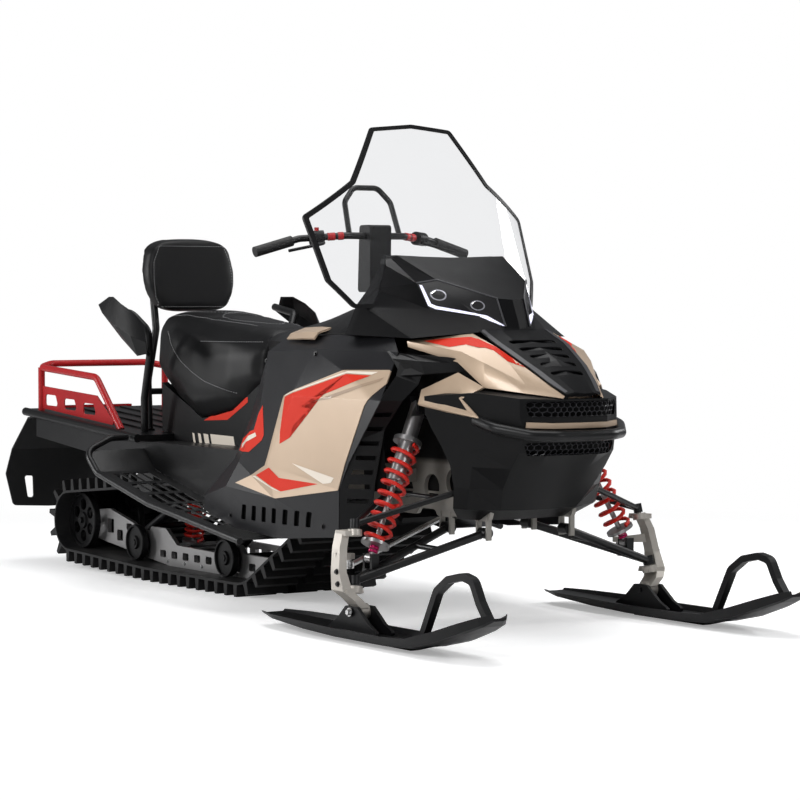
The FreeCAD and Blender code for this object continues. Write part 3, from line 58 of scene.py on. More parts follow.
# %% Helpers for shader groups
def new_group(name, inputs, output_name, output_kind):
    """An empty shader group with its sockets, and its input and output nodes."""
    tree = bpy.data.node_groups.new(name, "ShaderNodeTree")
    for label, kind, value in inputs:
        socket = tree.interface.new_socket(label, in_out="INPUT", socket_type="NodeSocket" + kind)
        socket.default_value = value
    tree.interface.new_socket(output_name, in_out="OUTPUT", socket_type="NodeSocket" + output_kind)
    return tree, tree.nodes.new("NodeGroupInput"), tree.nodes.new("NodeGroupOutput")


def add_node(tree, kind, **settings):
    """A node with some of its settings filled in."""
    node = tree.nodes.new("ShaderNode" + kind)
    for key, value in settings.items():
        setattr(node, key, value)
    return node


def noise_at(tree, scale_socket, detail):
    """A noise texture in the part's own coordinates."""
    place = add_node(tree, "TexCoord")
    noise = add_node(tree, "TexNoise")
    noise.inputs["Detail"].default_value = detail
    tree.links.new(place.outputs["Object"], noise.inputs["Vector"])
    tree.links.new(scale_socket, noise.inputs["Scale"])
    return noise


# %% Colour groups
def make_mottle():
    """Slow changes of brightness, as on any real moulding or paint."""
    inputs = [("Colour", "Color", (0.5, 0.5, 0.5, 1)), ("Scale", "Float", 6.0), ("Amount", "Float", 0.15)]
    tree, source, result = new_group("Mottle", inputs, "Colour", "Color")
    link = tree.links.new
    noise = noise_at(tree, source.outputs["Scale"], 5.0)
    spread = add_node(tree, "Math", operation="MULTIPLY_ADD")
    spread.inputs[2].default_value = 1.0
    centre = add_node(tree, "Math", operation="SUBTRACT")
    centre.inputs[1].default_value = 0.5
    tint = add_node(tree, "VectorMath", operation="SCALE")
    link(noise.outputs["Fac"], centre.inputs[0])
    link(centre.outputs[0], spread.inputs[0])
    link(source.outputs["Amount"], spread.inputs[1])
    link(source.outputs["Colour"], tint.inputs[0])
    link(spread.outputs[0], tint.inputs["Scale"])
    link(tint.outputs[0], result.inputs["Colour"])
    return tree


def make_dust():
    """A thin veil of dust on faces that look up, broken up by noise."""
    inputs = [
        ("Colour", "Color", (0.5, 0.5, 0.5, 1)), ("Dust", "Color", (0.3, 0.28, 0.25, 1)),
        ("Amount", "Float", 0.1), ("Scale", "Float", 14.0),
    ]
    tree, source, result = new_group("Dust Veil", inputs, "Colour", "Color")
    link = tree.links.new
    noise = noise_at(tree, source.outputs["Scale"], 8.0)
    shape = add_node(tree, "NewGeometry")
    split = add_node(tree, "SeparateXYZ")
    upward = add_node(tree, "MapRange")
    upward.inputs["From Min"].default_value = -0.2
    patch = add_node(tree, "MapRange")
    patch.inputs["From Min"].default_value = 0.35
    patch.inputs["From Max"].default_value = 0.75
    both = add_node(tree, "Math", operation="MULTIPLY")
    amount = add_node(tree, "Math", operation="MULTIPLY")
    mix = add_node(tree, "Mix", data_type="RGBA")
    link(shape.outputs["Normal"], split.inputs[0])
    link(split.outputs["Z"], upward.inputs["Value"])
    link(noise.outputs["Fac"], patch.inputs["Value"])
    link(upward.outputs[0], both.inputs[0])
    link(patch.outputs[0], both.inputs[1])
    link(both.outputs[0], amount.inputs[0])
    link(source.outputs["Amount"], amount.inputs[1])
    link(amount.outputs[0], mix.inputs["Factor"])
    link(source.outputs["Colour"], mix.inputs["A"])
    link(source.outputs["Dust"], mix.inputs["B"])
    link(mix.outputs["Result"], result.inputs["Colour"])
    return tree


# %% Surface groups
def make_rub():
    """Roughness that varies where hands, snow and cloths have rubbed."""
    inputs = [("Roughness", "Float", 0.5), ("Spread", "Float", 0.15), ("Scale", "Float", 9.0)]
    tree, source, result = new_group("Rub Marks", inputs, "Roughness", "Float")
    link = tree.links.new
    noise = noise_at(tree, source.outputs["Scale"], 6.0)
    centre = add_node(tree, "Math", operation="SUBTRACT")
    centre.inputs[1].default_value = 0.5
    total = add_node(tree, "Math", operation="MULTIPLY_ADD", use_clamp=True)
    link(noise.outputs["Fac"], centre.inputs[0])
    link(centre.outputs[0], total.inputs[0])
    link(source.outputs["Spread"], total.inputs[1])
    link(source.outputs["Roughness"], total.inputs[2])
    link(total.outputs[0], result.inputs["Roughness"])
    return tree


def make_grain():
    """The fine bump of a moulded or coated surface."""
    inputs = [("Scale", "Float", 900.0), ("Strength", "Float", 0.2), ("Depth", "Float", 0.0006)]
    tree, source, result = new_group("Fine Grain", inputs, "Normal", "Vector")
    link = tree.links.new
    noise = noise_at(tree, source.outputs["Scale"], 2.0)
    bump = add_node(tree, "Bump")
    link(noise.outputs["Fac"], bump.inputs["Height"])
    link(source.outputs["Strength"], bump.inputs["Strength"])
    link(source.outputs["Depth"], bump.inputs["Distance"])
    link(bump.outputs[0], result.inputs["Normal"])
    return tree


def make_leather():
    """The small pebbles of vinyl upholstery."""
    inputs = [("Scale", "Float", 420.0), ("Strength", "Float", 0.35), ("Depth", "Float", 0.0008)]
    tree, source, result = new_group("Vinyl Pebble", inputs, "Normal", "Vector")
    link = tree.links.new
    place = add_node(tree, "TexCoord")
    cells = add_node(tree, "TexVoronoi", feature="SMOOTH_F1")
    bump = add_node(tree, "Bump")
    link(place.outputs["Object"], cells.inputs["Vector"])
    link(source.outputs["Scale"], cells.inputs["Scale"])
    link(cells.outputs["Distance"], bump.inputs["Height"])
    link(source.outputs["Strength"], bump.inputs["Strength"])
    link(source.outputs["Depth"], bump.inputs["Distance"])
    link(bump.outputs[0], result.inputs["Normal"])
    return tree


# %% Edge wear and height zones
def make_edge_wear():
    """A lighter tone on outer edges, broken up, where coats and plastics wear first."""
    inputs = [
        ("Colour", "Color", (0.5, 0.5, 0.5, 1)), ("Worn", "Color", (0.2, 0.2, 0.2, 1)),
        ("Amount", "Float", 0.5), ("Width", "Float", 0.0015),
    ]
    tree, source, result = new_group("Edge Wear", inputs, "Colour", "Color")
    link = tree.links.new
    shape = add_node(tree, "NewGeometry")
    rounded = add_node(tree, "Bevel", samples=4)
    match = add_node(tree, "VectorMath", operation="DOT_PRODUCT")
    edge = add_node(tree, "MapRange")
    edge.inputs["From Min"].default_value = 0.998
    edge.inputs["From Max"].default_value = 0.93
    scale = add_node(tree, "Value")
    scale.outputs[0].default_value = 60.0
    noise = noise_at(tree, scale.outputs[0], 4.0)
    patch = add_node(tree, "MapRange")
    patch.inputs["From Min"].default_value = 0.4
    patch.inputs["From Max"].default_value = 0.65
    both = add_node(tree, "Math", operation="MULTIPLY")
    amount = add_node(tree, "Math", operation="MULTIPLY")
    mix = add_node(tree, "Mix", data_type="RGBA")
    link(source.outputs["Width"], rounded.inputs["Radius"])
    link(shape.outputs["Normal"], match.inputs[0])
    link(rounded.outputs["Normal"], match.inputs[1])
    link(match.outputs["Value"], edge.inputs["Value"])
    link(noise.outputs["Fac"], patch.inputs["Value"])
    link(edge.outputs[0], both.inputs[0])
    link(patch.outputs[0], both.inputs[1])
    link(both.outputs[0], amount.inputs[0])
    link(source.outputs["Amount"], amount.inputs[1])
    link(amount.outputs[0], mix.inputs["Factor"])
    link(source.outputs["Colour"], mix.inputs["A"])
    link(source.outputs["Worn"], mix.inputs["B"])
    link(mix.outputs["Result"], result.inputs["Colour"])
    return tree


def make_height_zone():
    """One colour below a height, another above it, with a soft line between."""
    inputs = [
        ("Low", "Color", (0.5, 0.5, 0.5, 1)), ("High", "Color", (0.02, 0.02, 0.02, 1)),
        ("Height", "Float", 0.47),
    ]
    tree, source, result = new_group("Height Zone", inputs, "Colour", "Color")
    link = tree.links.new
    place = add_node(tree, "TexCoord")
    split = add_node(tree, "SeparateXYZ")
    above = add_node(tree, "Math", operation="SUBTRACT")
    soft = add_node(tree, "MapRange")
    soft.inputs["From Min"].default_value = -0.01
    soft.inputs["From Max"].default_value = 0.01
    mix = add_node(tree, "Mix", data_type="RGBA")
    link(place.outputs["Object"], split.inputs[0])
    link(split.outputs["Z"], above.inputs[0])
    link(source.outputs["Height"], above.inputs[1])
    link(above.outputs[0], soft.inputs["Value"])
    link(soft.outputs[0], mix.inputs["Factor"])
    link(source.outputs["Low"], mix.inputs["A"])
    link(source.outputs["High"], mix.inputs["B"])
    link(mix.outputs["Result"], result.inputs["Colour"])
    return tree


MOTTLE = make_mottle()
WEAR = make_edge_wear()
ZONE = make_height_zone()
DUST = make_dust()
RUB = make_rub()
GRAIN = make_grain()
PEBBLE = make_leather()
print("shader groups:", [g.name for g in bpy.data.node_groups])

# %% [markdown]
# ## Finishes
# One short function makes a finish from a colour, a roughness and a few amounts.
# Colour passes through the mottle and the dust, roughness through the rub marks,
# and the normal through the grain.

# %% The finish helper
def use_group(tree, group, **values):
    """A group node with its sockets set by name."""
    node = tree.nodes.new("ShaderNodeGroup")
    node.node_tree = group
    for label, value in values.items():
        node.inputs[label].default_value = value
    return node


def finish(
    name, colour, rough, metal=0.0, grain=900.0, bump=0.2, mottle=0.15, dust=0.02,
    spread=0.12, pebble=False, worn=None, shine=0.3,
):
    """A material with real surface detail. Returns the material."""
    material = bpy.data.materials.new(name)
    material.use_nodes = True
    tree = material.node_tree
    link = tree.links.new
    shader = tree.nodes["Principled BSDF"]
    tones = use_group(tree, MOTTLE, Colour=(*colour, 1), Scale=7.0, Amount=mottle * 2)
    last = tones
    if worn:
        wear = use_group(tree, WEAR, Worn=(*worn, 1), Amount=0.6, Width=0.0015)
        link(tones.outputs["Colour"], wear.inputs["Colour"])
        last = wear
    veil = use_group(tree, DUST, Amount=dust, Scale=16.0)
    marks = use_group(tree, RUB, Roughness=rough, Spread=spread, Scale=11.0)
    skin = use_group(tree, PEBBLE if pebble else GRAIN, Scale=grain, Strength=bump)
    link(last.outputs["Colour"], veil.inputs["Colour"])
    link(veil.outputs["Colour"], shader.inputs["Base Color"])
    link(marks.outputs["Roughness"], shader.inputs["Roughness"])
    link(skin.outputs["Normal"], shader.inputs["Normal"])
    shader.inputs["Metallic"].default_value = metal
    shader.inputs["Specular IOR Level"].default_value = shine
    return material


def coat(material, weight, rough):
    """A clear coat over a finish."""
    shader = material.node_tree.nodes["Principled BSDF"]
    shader.inputs["Coat Weight"].default_value = weight
    shader.inputs["Coat Roughness"].default_value = rough
    return material


# %% The black finishes
BLACKS = {
    "gloss_black": finish(
        "gloss black plastic", (0.0035, 0.0035, 0.004), 0.42,
        bump=0.03, mottle=0.1, dust=0.0, shine=0.08),
    "satin_black": finish(
        "satin black plastic", (0.0048, 0.0048, 0.0052), 0.4,
        grain=1100.0, bump=0.18, dust=0.003, shine=0.16),
    "charcoal": finish(
        "charcoal body plastic", (0.009, 0.009, 0.0105), 0.36,
        grain=1400.0, bump=0.08, mottle=0.1, dust=0.004, shine=0.24),
    "rubber": finish(
        "moulded rubber", (0.007, 0.007, 0.0075), 0.55,
        grain=500.0, bump=0.35, dust=0.05, worn=(0.06, 0.06, 0.062)),
    "ski_plastic": finish(
        "ski plastic", (0.005, 0.005, 0.0055), 0.4,
        grain=700.0, bump=0.2, dust=0.008, worn=(0.05, 0.05, 0.055), shine=0.2),
    "powder_black": finish(
        "black powder coat", (0.0055, 0.0055, 0.006), 0.34,
        grain=1600.0, bump=0.2, worn=(0.05, 0.05, 0.055)),
    "vinyl": finish(
        "seat vinyl", (0.005, 0.005, 0.0054), 0.42,
        grain=420.0, bump=0.16, pebble=True, dust=0.002, shine=0.18),
    "net": finish("net plastic", (0.022, 0.022, 0.025), 0.34, grain=1200.0, bump=0.1),
    # Painted shade: a near-black matte finish for sheets set behind openings, where the inside lies in shade.
    "shade_sheet": finish(
        "painted shade sheet", (0.0015, 0.0015, 0.0017), 0.7,
        grain=1200.0, bump=0.1, dust=0.0, shine=0.1),
    "lamp_black": finish(
        "smoked lamp lens", (0.003, 0.003, 0.004), 0.3,
        grain=300.0, bump=0.02, mottle=0.1, dust=0.0, shine=0.12),
    "bezel": finish("lamp bezel", (0.16, 0.16, 0.18), 0.3, metal=0.5, grain=1200.0, bump=0.03),
}

# %% The coloured and bare finishes
RED = (0.62, 0.03, 0.013)
SAND = (0.5, 0.375, 0.268)
FINISH = {
    "powder_red": coat(finish(
        "red powder coat", (0.36, 0.009, 0.011), 0.4,
        grain=1600.0, bump=0.12, dust=0.0, worn=(0.45, 0.1, 0.08), shine=0.2), 0.15, 0.1),
    "spring_red": coat(finish(
        "red spring enamel", (0.6, 0.02, 0.012), 0.4,
        grain=1200.0, bump=0.1, dust=0.0, shine=0.2), 0.15, 0.1),
    "anodised": finish(
        "magenta anodised alloy", (0.42, 0.012, 0.09), 0.3,
        metal=0.7, grain=1200.0, bump=0.1),
    "sand": coat(finish(
        "sand metallic paint", SAND, 0.36,
        metal=0.2, grain=2600.0, bump=0.04, mottle=0.06, dust=0.01), 0.3, 0.1),
    "red_film": finish(
        "red stripe film", RED, 0.5,
        grain=2200.0, bump=0.03, mottle=0.06, dust=0.0, shine=0.12),
    # Pale film: printed cream bands, and also painted highlights along an edge and a fold of the inserts.
    "pale_print_and_highlight_film": coat(finish(
        "pale print and painted highlight film", (0.78, 0.7, 0.6), 0.36,
        grain=2200.0, bump=0.03, mottle=0.05, dust=0.01), 0.2, 0.12),
    # Painted shade: a darker sand film laid along a crease of the inserts, where the crease falls into shade.
    "crease_shade_film": coat(finish(
        "painted crease shade film", (0.34, 0.245, 0.17), 0.38,
        grain=2200.0, bump=0.03, mottle=0.05, dust=0.01), 0.2, 0.12),
    "grey_film": finish(
        "grey ridge film", (0.045, 0.045, 0.05), 0.36,
        grain=2200.0, bump=0.05, mottle=0.1),
    "alloy": finish(
        "extruded alloy", (0.3, 0.295, 0.295), 0.36,
        metal=0.85, grain=700.0, bump=0.1, spread=0.2, worn=(0.7, 0.7, 0.7)),
    "damper_alloy": finish(
        "damper alloy", (0.33, 0.32, 0.32), 0.32,
        metal=0.85, grain=700.0, bump=0.06),
    "cast": finish(
        "cast alloy", (0.47, 0.44, 0.4), 0.44,
        metal=0.6, grain=420.0, bump=0.4, spread=0.2, worn=(0.7, 0.68, 0.64)),
    "satin_steel": finish(
        "satin steel", (0.6, 0.6, 0.6), 0.26,
        metal=1.0, grain=900.0, bump=0.05, spread=0.12),
    "thread": finish("stitching thread", (0.42, 0.42, 0.43), 0.7, grain=2500.0, bump=0.3),
    "red_lens": coat(finish(
        "tinted lens", (0.3, 0.008, 0.01), 0.2,
        grain=500.0, bump=0.08, dust=0.01), 0.8, 0.05),
}
FINISH.update(BLACKS)


def zoned_casting():
    """The front casting: bare alloy low down, painted black above."""
    material = finish("front casting", (0.4, 0.37, 0.33), 0.46, metal=0.4, grain=420.0, bump=0.45, spread=0.2)
    tree = material.node_tree
    zone = use_group(tree, ZONE, Low=(0.3, 0.285, 0.26, 1), High=(0.01, 0.01, 0.011, 1), Height=0.5)
    tones = [node for node in tree.nodes if node.type == "GROUP" and node.node_tree == MOTTLE][0]
    tree.links.new(zone.outputs["Colour"], tones.inputs["Colour"])
    return material


FINISH["casting"] = zoned_casting()


def glow(name, colour, strength):
    """A lit strip: an emission with a faint unevenness."""
    material = finish(name, colour, 0.3, bump=0.05, mottle=0.05, dust=0.0)
    shader = material.node_tree.nodes["Principled BSDF"]
    shader.inputs["Emission Color"].default_value = (*colour, 1)
    shader.inputs["Emission Strength"].default_value = strength
    return material


def clear_sheet(name):
    """Clear polycarbonate. Light passes straight on to what stands behind it."""
    material = bpy.data.materials.new(name)
    material.use_nodes = True
    tree = material.node_tree
    link = tree.links.new
    shader = tree.nodes["Principled BSDF"]
    shader.inputs["Transmission Weight"].default_value = 1.0
    shader.inputs["IOR"].default_value = 1.25
    tones = use_group(tree, MOTTLE, Colour=(0.87, 0.875, 0.885, 1), Scale=3.0, Amount=0.04)
    marks = use_group(tree, RUB, Roughness=0.012, Spread=0.012, Scale=20.0)
    link(tones.outputs["Colour"], shader.inputs["Base Color"])
    link(marks.outputs["Roughness"], shader.inputs["Roughness"])
    path = add_node(tree, "LightPath")
    through = add_node(tree, "BsdfTransparent")
    mix = add_node(tree, "MixShader")
    link(path.outputs["Is Shadow Ray"], mix.inputs[0])
    link(shader.outputs[0], mix.inputs[1])
    link(through.outputs[0], mix.inputs[2])
    link(mix.outputs[0], tree.nodes["Material Output"].inputs["Surface"])
    return material


FINISH["glow"] = glow("running light", (0.66, 0.66, 0.8), 0.75)
FINISH["clear"] = clear_sheet("clear windshield")
print("finishes:", len(FINISH))

# %% [markdown]
# ## Dress the solids
# Every solid keeps its shape. It gets a finish and, where its edges are sharp, a
# narrow bevel, so that the edges catch the light as real mouldings do.

# %% Assign the finishes
DRESS = {
    "rubber": ["track", "grips", "snow_flap"],
    "satin_black": [
        "console", "seat_base", "cargo_deck", "front_frames", "nose_frame", "hand_guards",
        "belly_pan", "riser", "bar_controls", "rear_idlers", "bogie_wheels", "drive_axle", "windshield_trim",
    ],
    "charcoal": ["side_panels"],
    "gloss_black": ["hood", "lamp_pod"],
    "net": ["grille"],
    "ski_plastic": ["ski_left", "ski_right", "ski_loop_left", "ski_loop_right"],
    "powder_black": [
        "tunnel", "running_boards", "skid_arms", "lower_arms", "upper_arms", "bumper", "backrest_frame",
        "grab_handles", "hitch_tongue", "steering_post", "handlebar", "grab_hoop", "steering_bush",
        "engine_block",
    ],
    "powder_red": ["cargo_rack"],
    "spring_red": ["front_springs", "skid_spring"],
    "sand": ["side_inserts", "nose_wings", "nose_strip"],
    "alloy": ["slide_rails"],
    "damper_alloy": ["front_shocks", "skid_shock"],
    "cast": ["spindle_left", "spindle_right"],
    "casting": ["bulkhead"],
    "satin_steel": ["tie_rod_left", "tie_rod_right"],
    "red_lens": ["tail_lamp"],
    "lamp_black": ["headlamps"],
    "clear": ["windshield"],
    "vinyl": ["seat", "backrest_pad"],
}


def dress(node, material):
    """Give a whole solid one finish."""
    mesh = NODES[node].data
    mesh.materials.clear()
    mesh.materials.append(material)


for label, names in DRESS.items():
    for node in names:
        dress(node, FINISH[label])
dressed = {node for names in DRESS.values() for node in names}
print("solids without a finish:", sorted(set(NODES) - dressed))

# %% Weld, bevel and smooth the mouldings
BEVELS = {
    "side_panels": 3.0, "side_inserts": 3.0, "nose_wings": 4.0, "hood": 1.2, "belly_pan": 4.0,
    "lamp_pod": 4.0, "console": 8.0, "front_frames": 1.2, "cargo_deck": 3.0, "spindle_left": 3.0,
    "spindle_right": 3.0, "bulkhead": 1.5, "riser": 4.0, "snow_flap": 1.5, "slide_rails": 1.0,
    "nose_frame": 3.0, "hand_guards": 5.0, "ski_left": 2.0, "ski_right": 2.0, "ski_loop_left": 3.0,
    "ski_loop_right": 3.0, "seat_base": 8.0,
}


# The angles above which an edge is rounded and above which it stays hard, in degrees.
ANGLES = {"hood": (16, 9), "nose_wings": (30, 36)}
USUAL_ANGLES = (16, 32)


def soften(node, width):
    """Weld the faces of a solid, round its sharp edges and blend the shallow ones."""
    piece = NODES[node]
    sharp, blend = ANGLES.get(node, USUAL_ANGLES)
    for face in piece.data.polygons:
        face.use_smooth = True
    weld = piece.modifiers.new("weld", "WELD")
    weld.merge_threshold = 0.00002
    if width:
        bevel = piece.modifiers.new("edge", "BEVEL")
        bevel.width = width / 1000
        bevel.segments = 2
        bevel.limit_method = "ANGLE"
        bevel.angle_limit = math.radians(sharp)
    split = piece.modifiers.new("hard edges", "EDGE_SPLIT")
    split.split_angle = math.radians(blend)
    if width and node not in ANGLES:
        piece.modifiers.new("flat faces", "WEIGHTED_NORMAL")


for node in NODES:
    soften(node, BEVELS.get(node, 0))
print("beveled:", len(BEVELS))

# %% [markdown]
# ## Helpers for new pieces
# A new piece is a mesh in the same frame. Thin films and stitches are laid onto a
# solid by casting rays at it, so they follow its shape.

# %% Mesh helpers
SIDES = (("left", 1), ("right", -1))
FILM_CELL = 0.014
FILM_LIFT = 0.0008


def mesh_from(name, bm):
    """A mesh made from an edited one, which is then let go."""
    mesh = bpy.data.meshes.new(name)
    bm.to_mesh(mesh)
    bm.free()
    return mesh


def piece_from(name, mesh, material, body="chassis"):
    """Link a mesh as a piece that rides on a body."""
    mesh.materials.clear()
    mesh.materials.append(material)
    piece = bpy.data.objects.new(name, mesh)
    bpy.context.scene.collection.objects.link(piece)
    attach(piece, body)
    return piece


def surface_of(*nodes):
    """A search tree over some solids, for casting rays at them."""
    vertices = []
    faces = []
    for node in nodes:
        mesh = NODES[node].data
        shift = len(vertices)
        vertices += [v.co.copy() for v in mesh.vertices]
        faces += [[shift + i for i in face.vertices] for face in mesh.polygons]
    return BVHTree.FromPolygons(vertices, faces)


def refine(bm, longest):
    """Cut a flat outline into small triangles."""
    bmesh.ops.triangulate(bm, faces=bm.faces[:])
    for _ in range(7):
        long_edges = [e for e in bm.edges if e.calc_length() > longest]
        if not long_edges:
            break
        bmesh.ops.subdivide_edges(bm, edges=long_edges, cuts=1)
        bmesh.ops.triangulate(bm, faces=bm.faces[:])


def film(name, outline, towards, surface, material, lift=FILM_LIFT, body="chassis"):
    """A thin film laid on a surface: the outline's points are cast along one direction."""
    bm = bmesh.new()
    bm.faces.new([bm.verts.new(point) for point in outline])
    refine(bm, FILM_CELL)
    for vertex in bm.verts:
        place, normal, _, _ = surface.ray_cast(vertex.co, towards)
        if place is None:
            place, normal, _, _ = surface.find_nearest(vertex.co)
        if normal.dot(towards) > 0:
            normal = -normal
        vertex.co = place + normal * lift
    return piece_from(name, mesh_from(name, bm), material, body)


def side_film(name, outline, surface, material, reach=0.7, lift=FILM_LIFT):
    """The same film on both flanks, drawn as (x, z)."""
    for label, side in SIDES:
        points = [Vector((x, side * reach, z)) for x, z in outline]
        film(name + "_" + label, points, Vector((0, -side, 0)), surface, material, lift)


def tube_piece(name, lines, radius, material, body="chassis"):
    """Thin round tubes along polylines, as one mesh."""
    curve = bpy.data.curves.new(name, "CURVE")
    curve.dimensions = "3D"
    curve.bevel_depth = radius
    curve.bevel_resolution = 1
    curve.use_fill_caps = True
    for line in lines:
        spline = curve.splines.new("POLY")
        spline.points.add(len(line) - 1)
        for point, place in zip(spline.points, line):
            point.co = (*place, 1)
    holder = bpy.data.objects.new(name + "_curve", curve)
    bpy.context.scene.collection.objects.link(holder)
    view = bpy.context.evaluated_depsgraph_get()
    mesh = bpy.data.meshes.new_from_object(holder.evaluated_get(view))
    bpy.data.objects.remove(holder)
    for face in mesh.polygons:
        face.use_smooth = True
    return piece_from(name, mesh, material, body)


# %% [markdown]
# ## Stripes and panels of colour
# The stripes are plain bands of red and cream. One cream band on each flank is a painted
# highlight along the insert's top edge and another is a painted highlight along a fold; the darker
# sand band is painted shade along a crease. The lettering of the real machine is left out,
# so these bands carry no name.

# %% Stripes on the flanks
flank = surface_of("side_inserts")
side_film("insert_red", [
    (0.448, 0.686), (0.749, 0.763), (0.866, 0.761), (0.73, 0.718), (0.603, 0.681), (0.555, 0.66),
    (0.6, 0.655), (0.517, 0.6), (0.5, 0.562), (0.446, 0.541),
], flank, FINISH["red_film"])
# Painted highlight: a cream film along the insert's top bevel edge, where the edge catches the light.
side_film("insert_edge_highlight", [
    (0.44, 0.68), (0.449, 0.693), (0.75, 0.772), (0.89, 0.772), (0.866, 0.7635), (0.749, 0.7655),
    (0.446, 0.6885),
], flank, FINISH["pale_print_and_highlight_film"])
# Painted shade: a darker sand band along the insert's crease.
side_film("insert_crease_shade", [
    (0.614, 0.676), (0.93, 0.757), (0.918, 0.745), (0.71, 0.688),
], flank, FINISH["crease_shade_film"])
# Painted highlight: a pale film along a fold of the insert, where the fold catches the light.
side_film("insert_fold_highlight", [
    (0.517, 0.485), (0.735, 0.451), (0.718, 0.435), (0.676, 0.43),
], flank, FINISH["pale_print_and_highlight_film"])
side_film("chevron_red", [
    (0.296, 0.436), (0.392, 0.465), (0.448, 0.436), (0.651, 0.428), (0.464, 0.395),
], flank, FINISH["red_film"])
side_film("chevron_cream", [
    (0.268, 0.432), (0.292, 0.434), (0.462, 0.3935), (0.436, 0.397),
], flank, FINISH["pale_print_and_highlight_film"])
panel = surface_of("side_panels")
side_film("rear_red", [
    (0.251, 0.629), (0.273, 0.655), (0.315, 0.562), (0.306, 0.546), (0.223, 0.505), (0.05, 0.5),
    (0.03, 0.537), (0.234, 0.575),
], panel, FINISH["red_film"])
side_film("rear_bar", [
    (0.07, 0.522), (0.249, 0.567), (0.262, 0.556), (0.1, 0.508),
], panel, FINISH["pale_print_and_highlight_film"], lift=0.0014)
base = surface_of("seat_base")
side_film("base_red", [
    (-0.52, 0.57), (-0.33, 0.635), (-0.225, 0.66), (-0.225, 0.642), (-0.36, 0.578),
], base, FINISH["red_film"])
BASE_BARS = ((-0.599, -0.585), (-0.56, -0.541), (-0.522, -0.49), (-0.475, -0.32))
BAR_SLANT = 0.012
for i, (back, front) in enumerate(BASE_BARS):
    side_film("base_bar_%d" % i, [
        (back + BAR_SLANT, 0.484), (front + BAR_SLANT, 0.484), (front, 0.523), (back, 0.525),
    ], base, FINISH["pale_print_and_highlight_film"])
print("flank films done")

# %% Stripes on the nose
WING_BAND = [
    (0.932, 0.244), (0.979, 0.212), (1.085, 0.152), (1.22, 0.122), (1.334, 0.088), (1.131, 0.16),
    (1.046, 0.228),
]
RIDGE_BAND = [
    (1.06, 0.13), (1.153, 0.132), (1.267, 0.109), (1.342, 0.086), (1.39, 0.063), (1.388, 0.052),
    (1.335, 0.071), (1.262, 0.093), (1.15, 0.114), (1.062, 0.112),
]
DOWN = Vector((0, 0, -1))
wing = surface_of("nose_wings")
hood = surface_of("hood")
for label, side in SIDES:
    points = [Vector((x, side * y, 1.1)) for x, y in WING_BAND]
    film("wing_red_" + label, points, DOWN, wing, FINISH["red_film"])
    points = [Vector((x, side * y, 1.1)) for x, y in RIDGE_BAND]
    film("ridge_grey_" + label, points, DOWN, hood, FINISH["grey_film"])
print("nose films done")

# %% [markdown]
# ## Headlamps
# Each lamp has a lit strip along its lower edge and two projectors with bezels, each with a painted highlight
# arc on one side.

# %% Lamp details
lamp = surface_of("headlamps")


def lamp_film(name, outline, material, lift=0.001):
    """A film on both lamp faces, drawn as (y, z) and cast backward."""
    for label, side in SIDES:
        points = [Vector((1.4, side * y, z)) for y, z in outline]
        film(name + "_" + label, points, Vector((-1, 0, 0)), lamp, material, lift)


def ellipse(y, z, half_y, half_z, steps=24):
    """The points of an upright oval, as (y, z)."""
    angles = [2 * math.pi * i / steps for i in range(steps)]
    return [(y + half_y * math.cos(angle), z + half_z * math.sin(angle)) for angle in angles]


lamp_film("running_strip", [
    (0.2, 1.031), (0.1945, 1.03), (0.186, 0.974), (0.176, 0.967), (0.135, 0.955), (0.098, 0.943),
    (0.098, 0.937), (0.18, 0.958), (0.193, 0.968),
], FINISH["glow"])
lamp_film("running_tip", [
    (0.098, 0.943), (0.078, 0.939), (0.045, 0.909), (0.058, 0.91), (0.098, 0.935),
], FINISH["glow"])
PROJECTORS = ((0.167, 1.0, 0.0165), (0.0925, 0.969, 0.015))
# Painted highlight: a bright crescent of steel film on one side of each projector, standing in for a
# reflection on the lens.
PAINTED_HIGHLIGHT_ARC = ((0.86, 0.34), (0.6, 0.6), (0.2, 0.84), (0.2, 0.68), (0.48, 0.48), (0.68, 0.2))
for i, (y, z, radius) in enumerate(PROJECTORS):
    lens = radius * 0.82
    lamp_film("projector_rim_%d" % i, ellipse(y, z, radius, radius), FINISH["bezel"], 0.0012)
    lamp_film("projector_face_%d" % i, ellipse(y, z, lens, lens), FINISH["lamp_black"], 0.0018)
    highlight_arc = [(y + radius * across, z + radius * up) for across, up in PAINTED_HIGHLIGHT_ARC]
    lamp_film("projector_painted_highlight_%d" % i, highlight_arc, FINISH["satin_steel"], 0.0024)
print("lamp details done")

# %% The bright rim over each lamp
RIM = [(0.842, 0.206, 1.037), (0.892, 0.167, 1.0465), (1.039, 0.051, 0.9915), (1.077, 0.0455, 0.9065)]
rims = [[Vector((x + 0.001, side * y, z)) for x, y, z in RIM] for side in (-1, 1)]
tube_piece("lamp_rims", rims, 0.0026, FINISH["grey_film"])

# %% [markdown]
# ## Grille mesh
# Real grilles are thin. A sheet of hexagons is bent over the nose and turned into
# wires of even thickness. Thin dark sheets of painted shade close what lies behind it
# and behind the slots of the side panels, in place of the machine's shaded inside.

# %% Hexagon mesh in the nose openings
def nose_hits(surface):
    """Where straight rays from the front meet the grille, as (0, y, z) keys with their x."""
    found = []
    for row in range(44):
        for column in range(85):
            y, z = -0.168 + column * 0.004, 0.523 + row * 0.004
            place, _, _, _ = surface.ray_cast(Vector((1.6, y, z)), Vector((-1, 0, 0)))
            if place is not None:
                found.append(place)
    return found


GRILLE_HITS = nose_hits(surface_of("grille"))
HIT_TREE = KDTree(len(GRILLE_HITS))
for index, hit in enumerate(GRILLE_HITS):
    HIT_TREE.insert(Vector((0, hit.y, hit.z)), index)
HIT_TREE.balance()


def nose_x(y, z):
    """The grille's own front face, read over its slots too."""
    _, index, _ = HIT_TREE.find(Vector((0, y, z)))
    return GRILLE_HITS[index].x


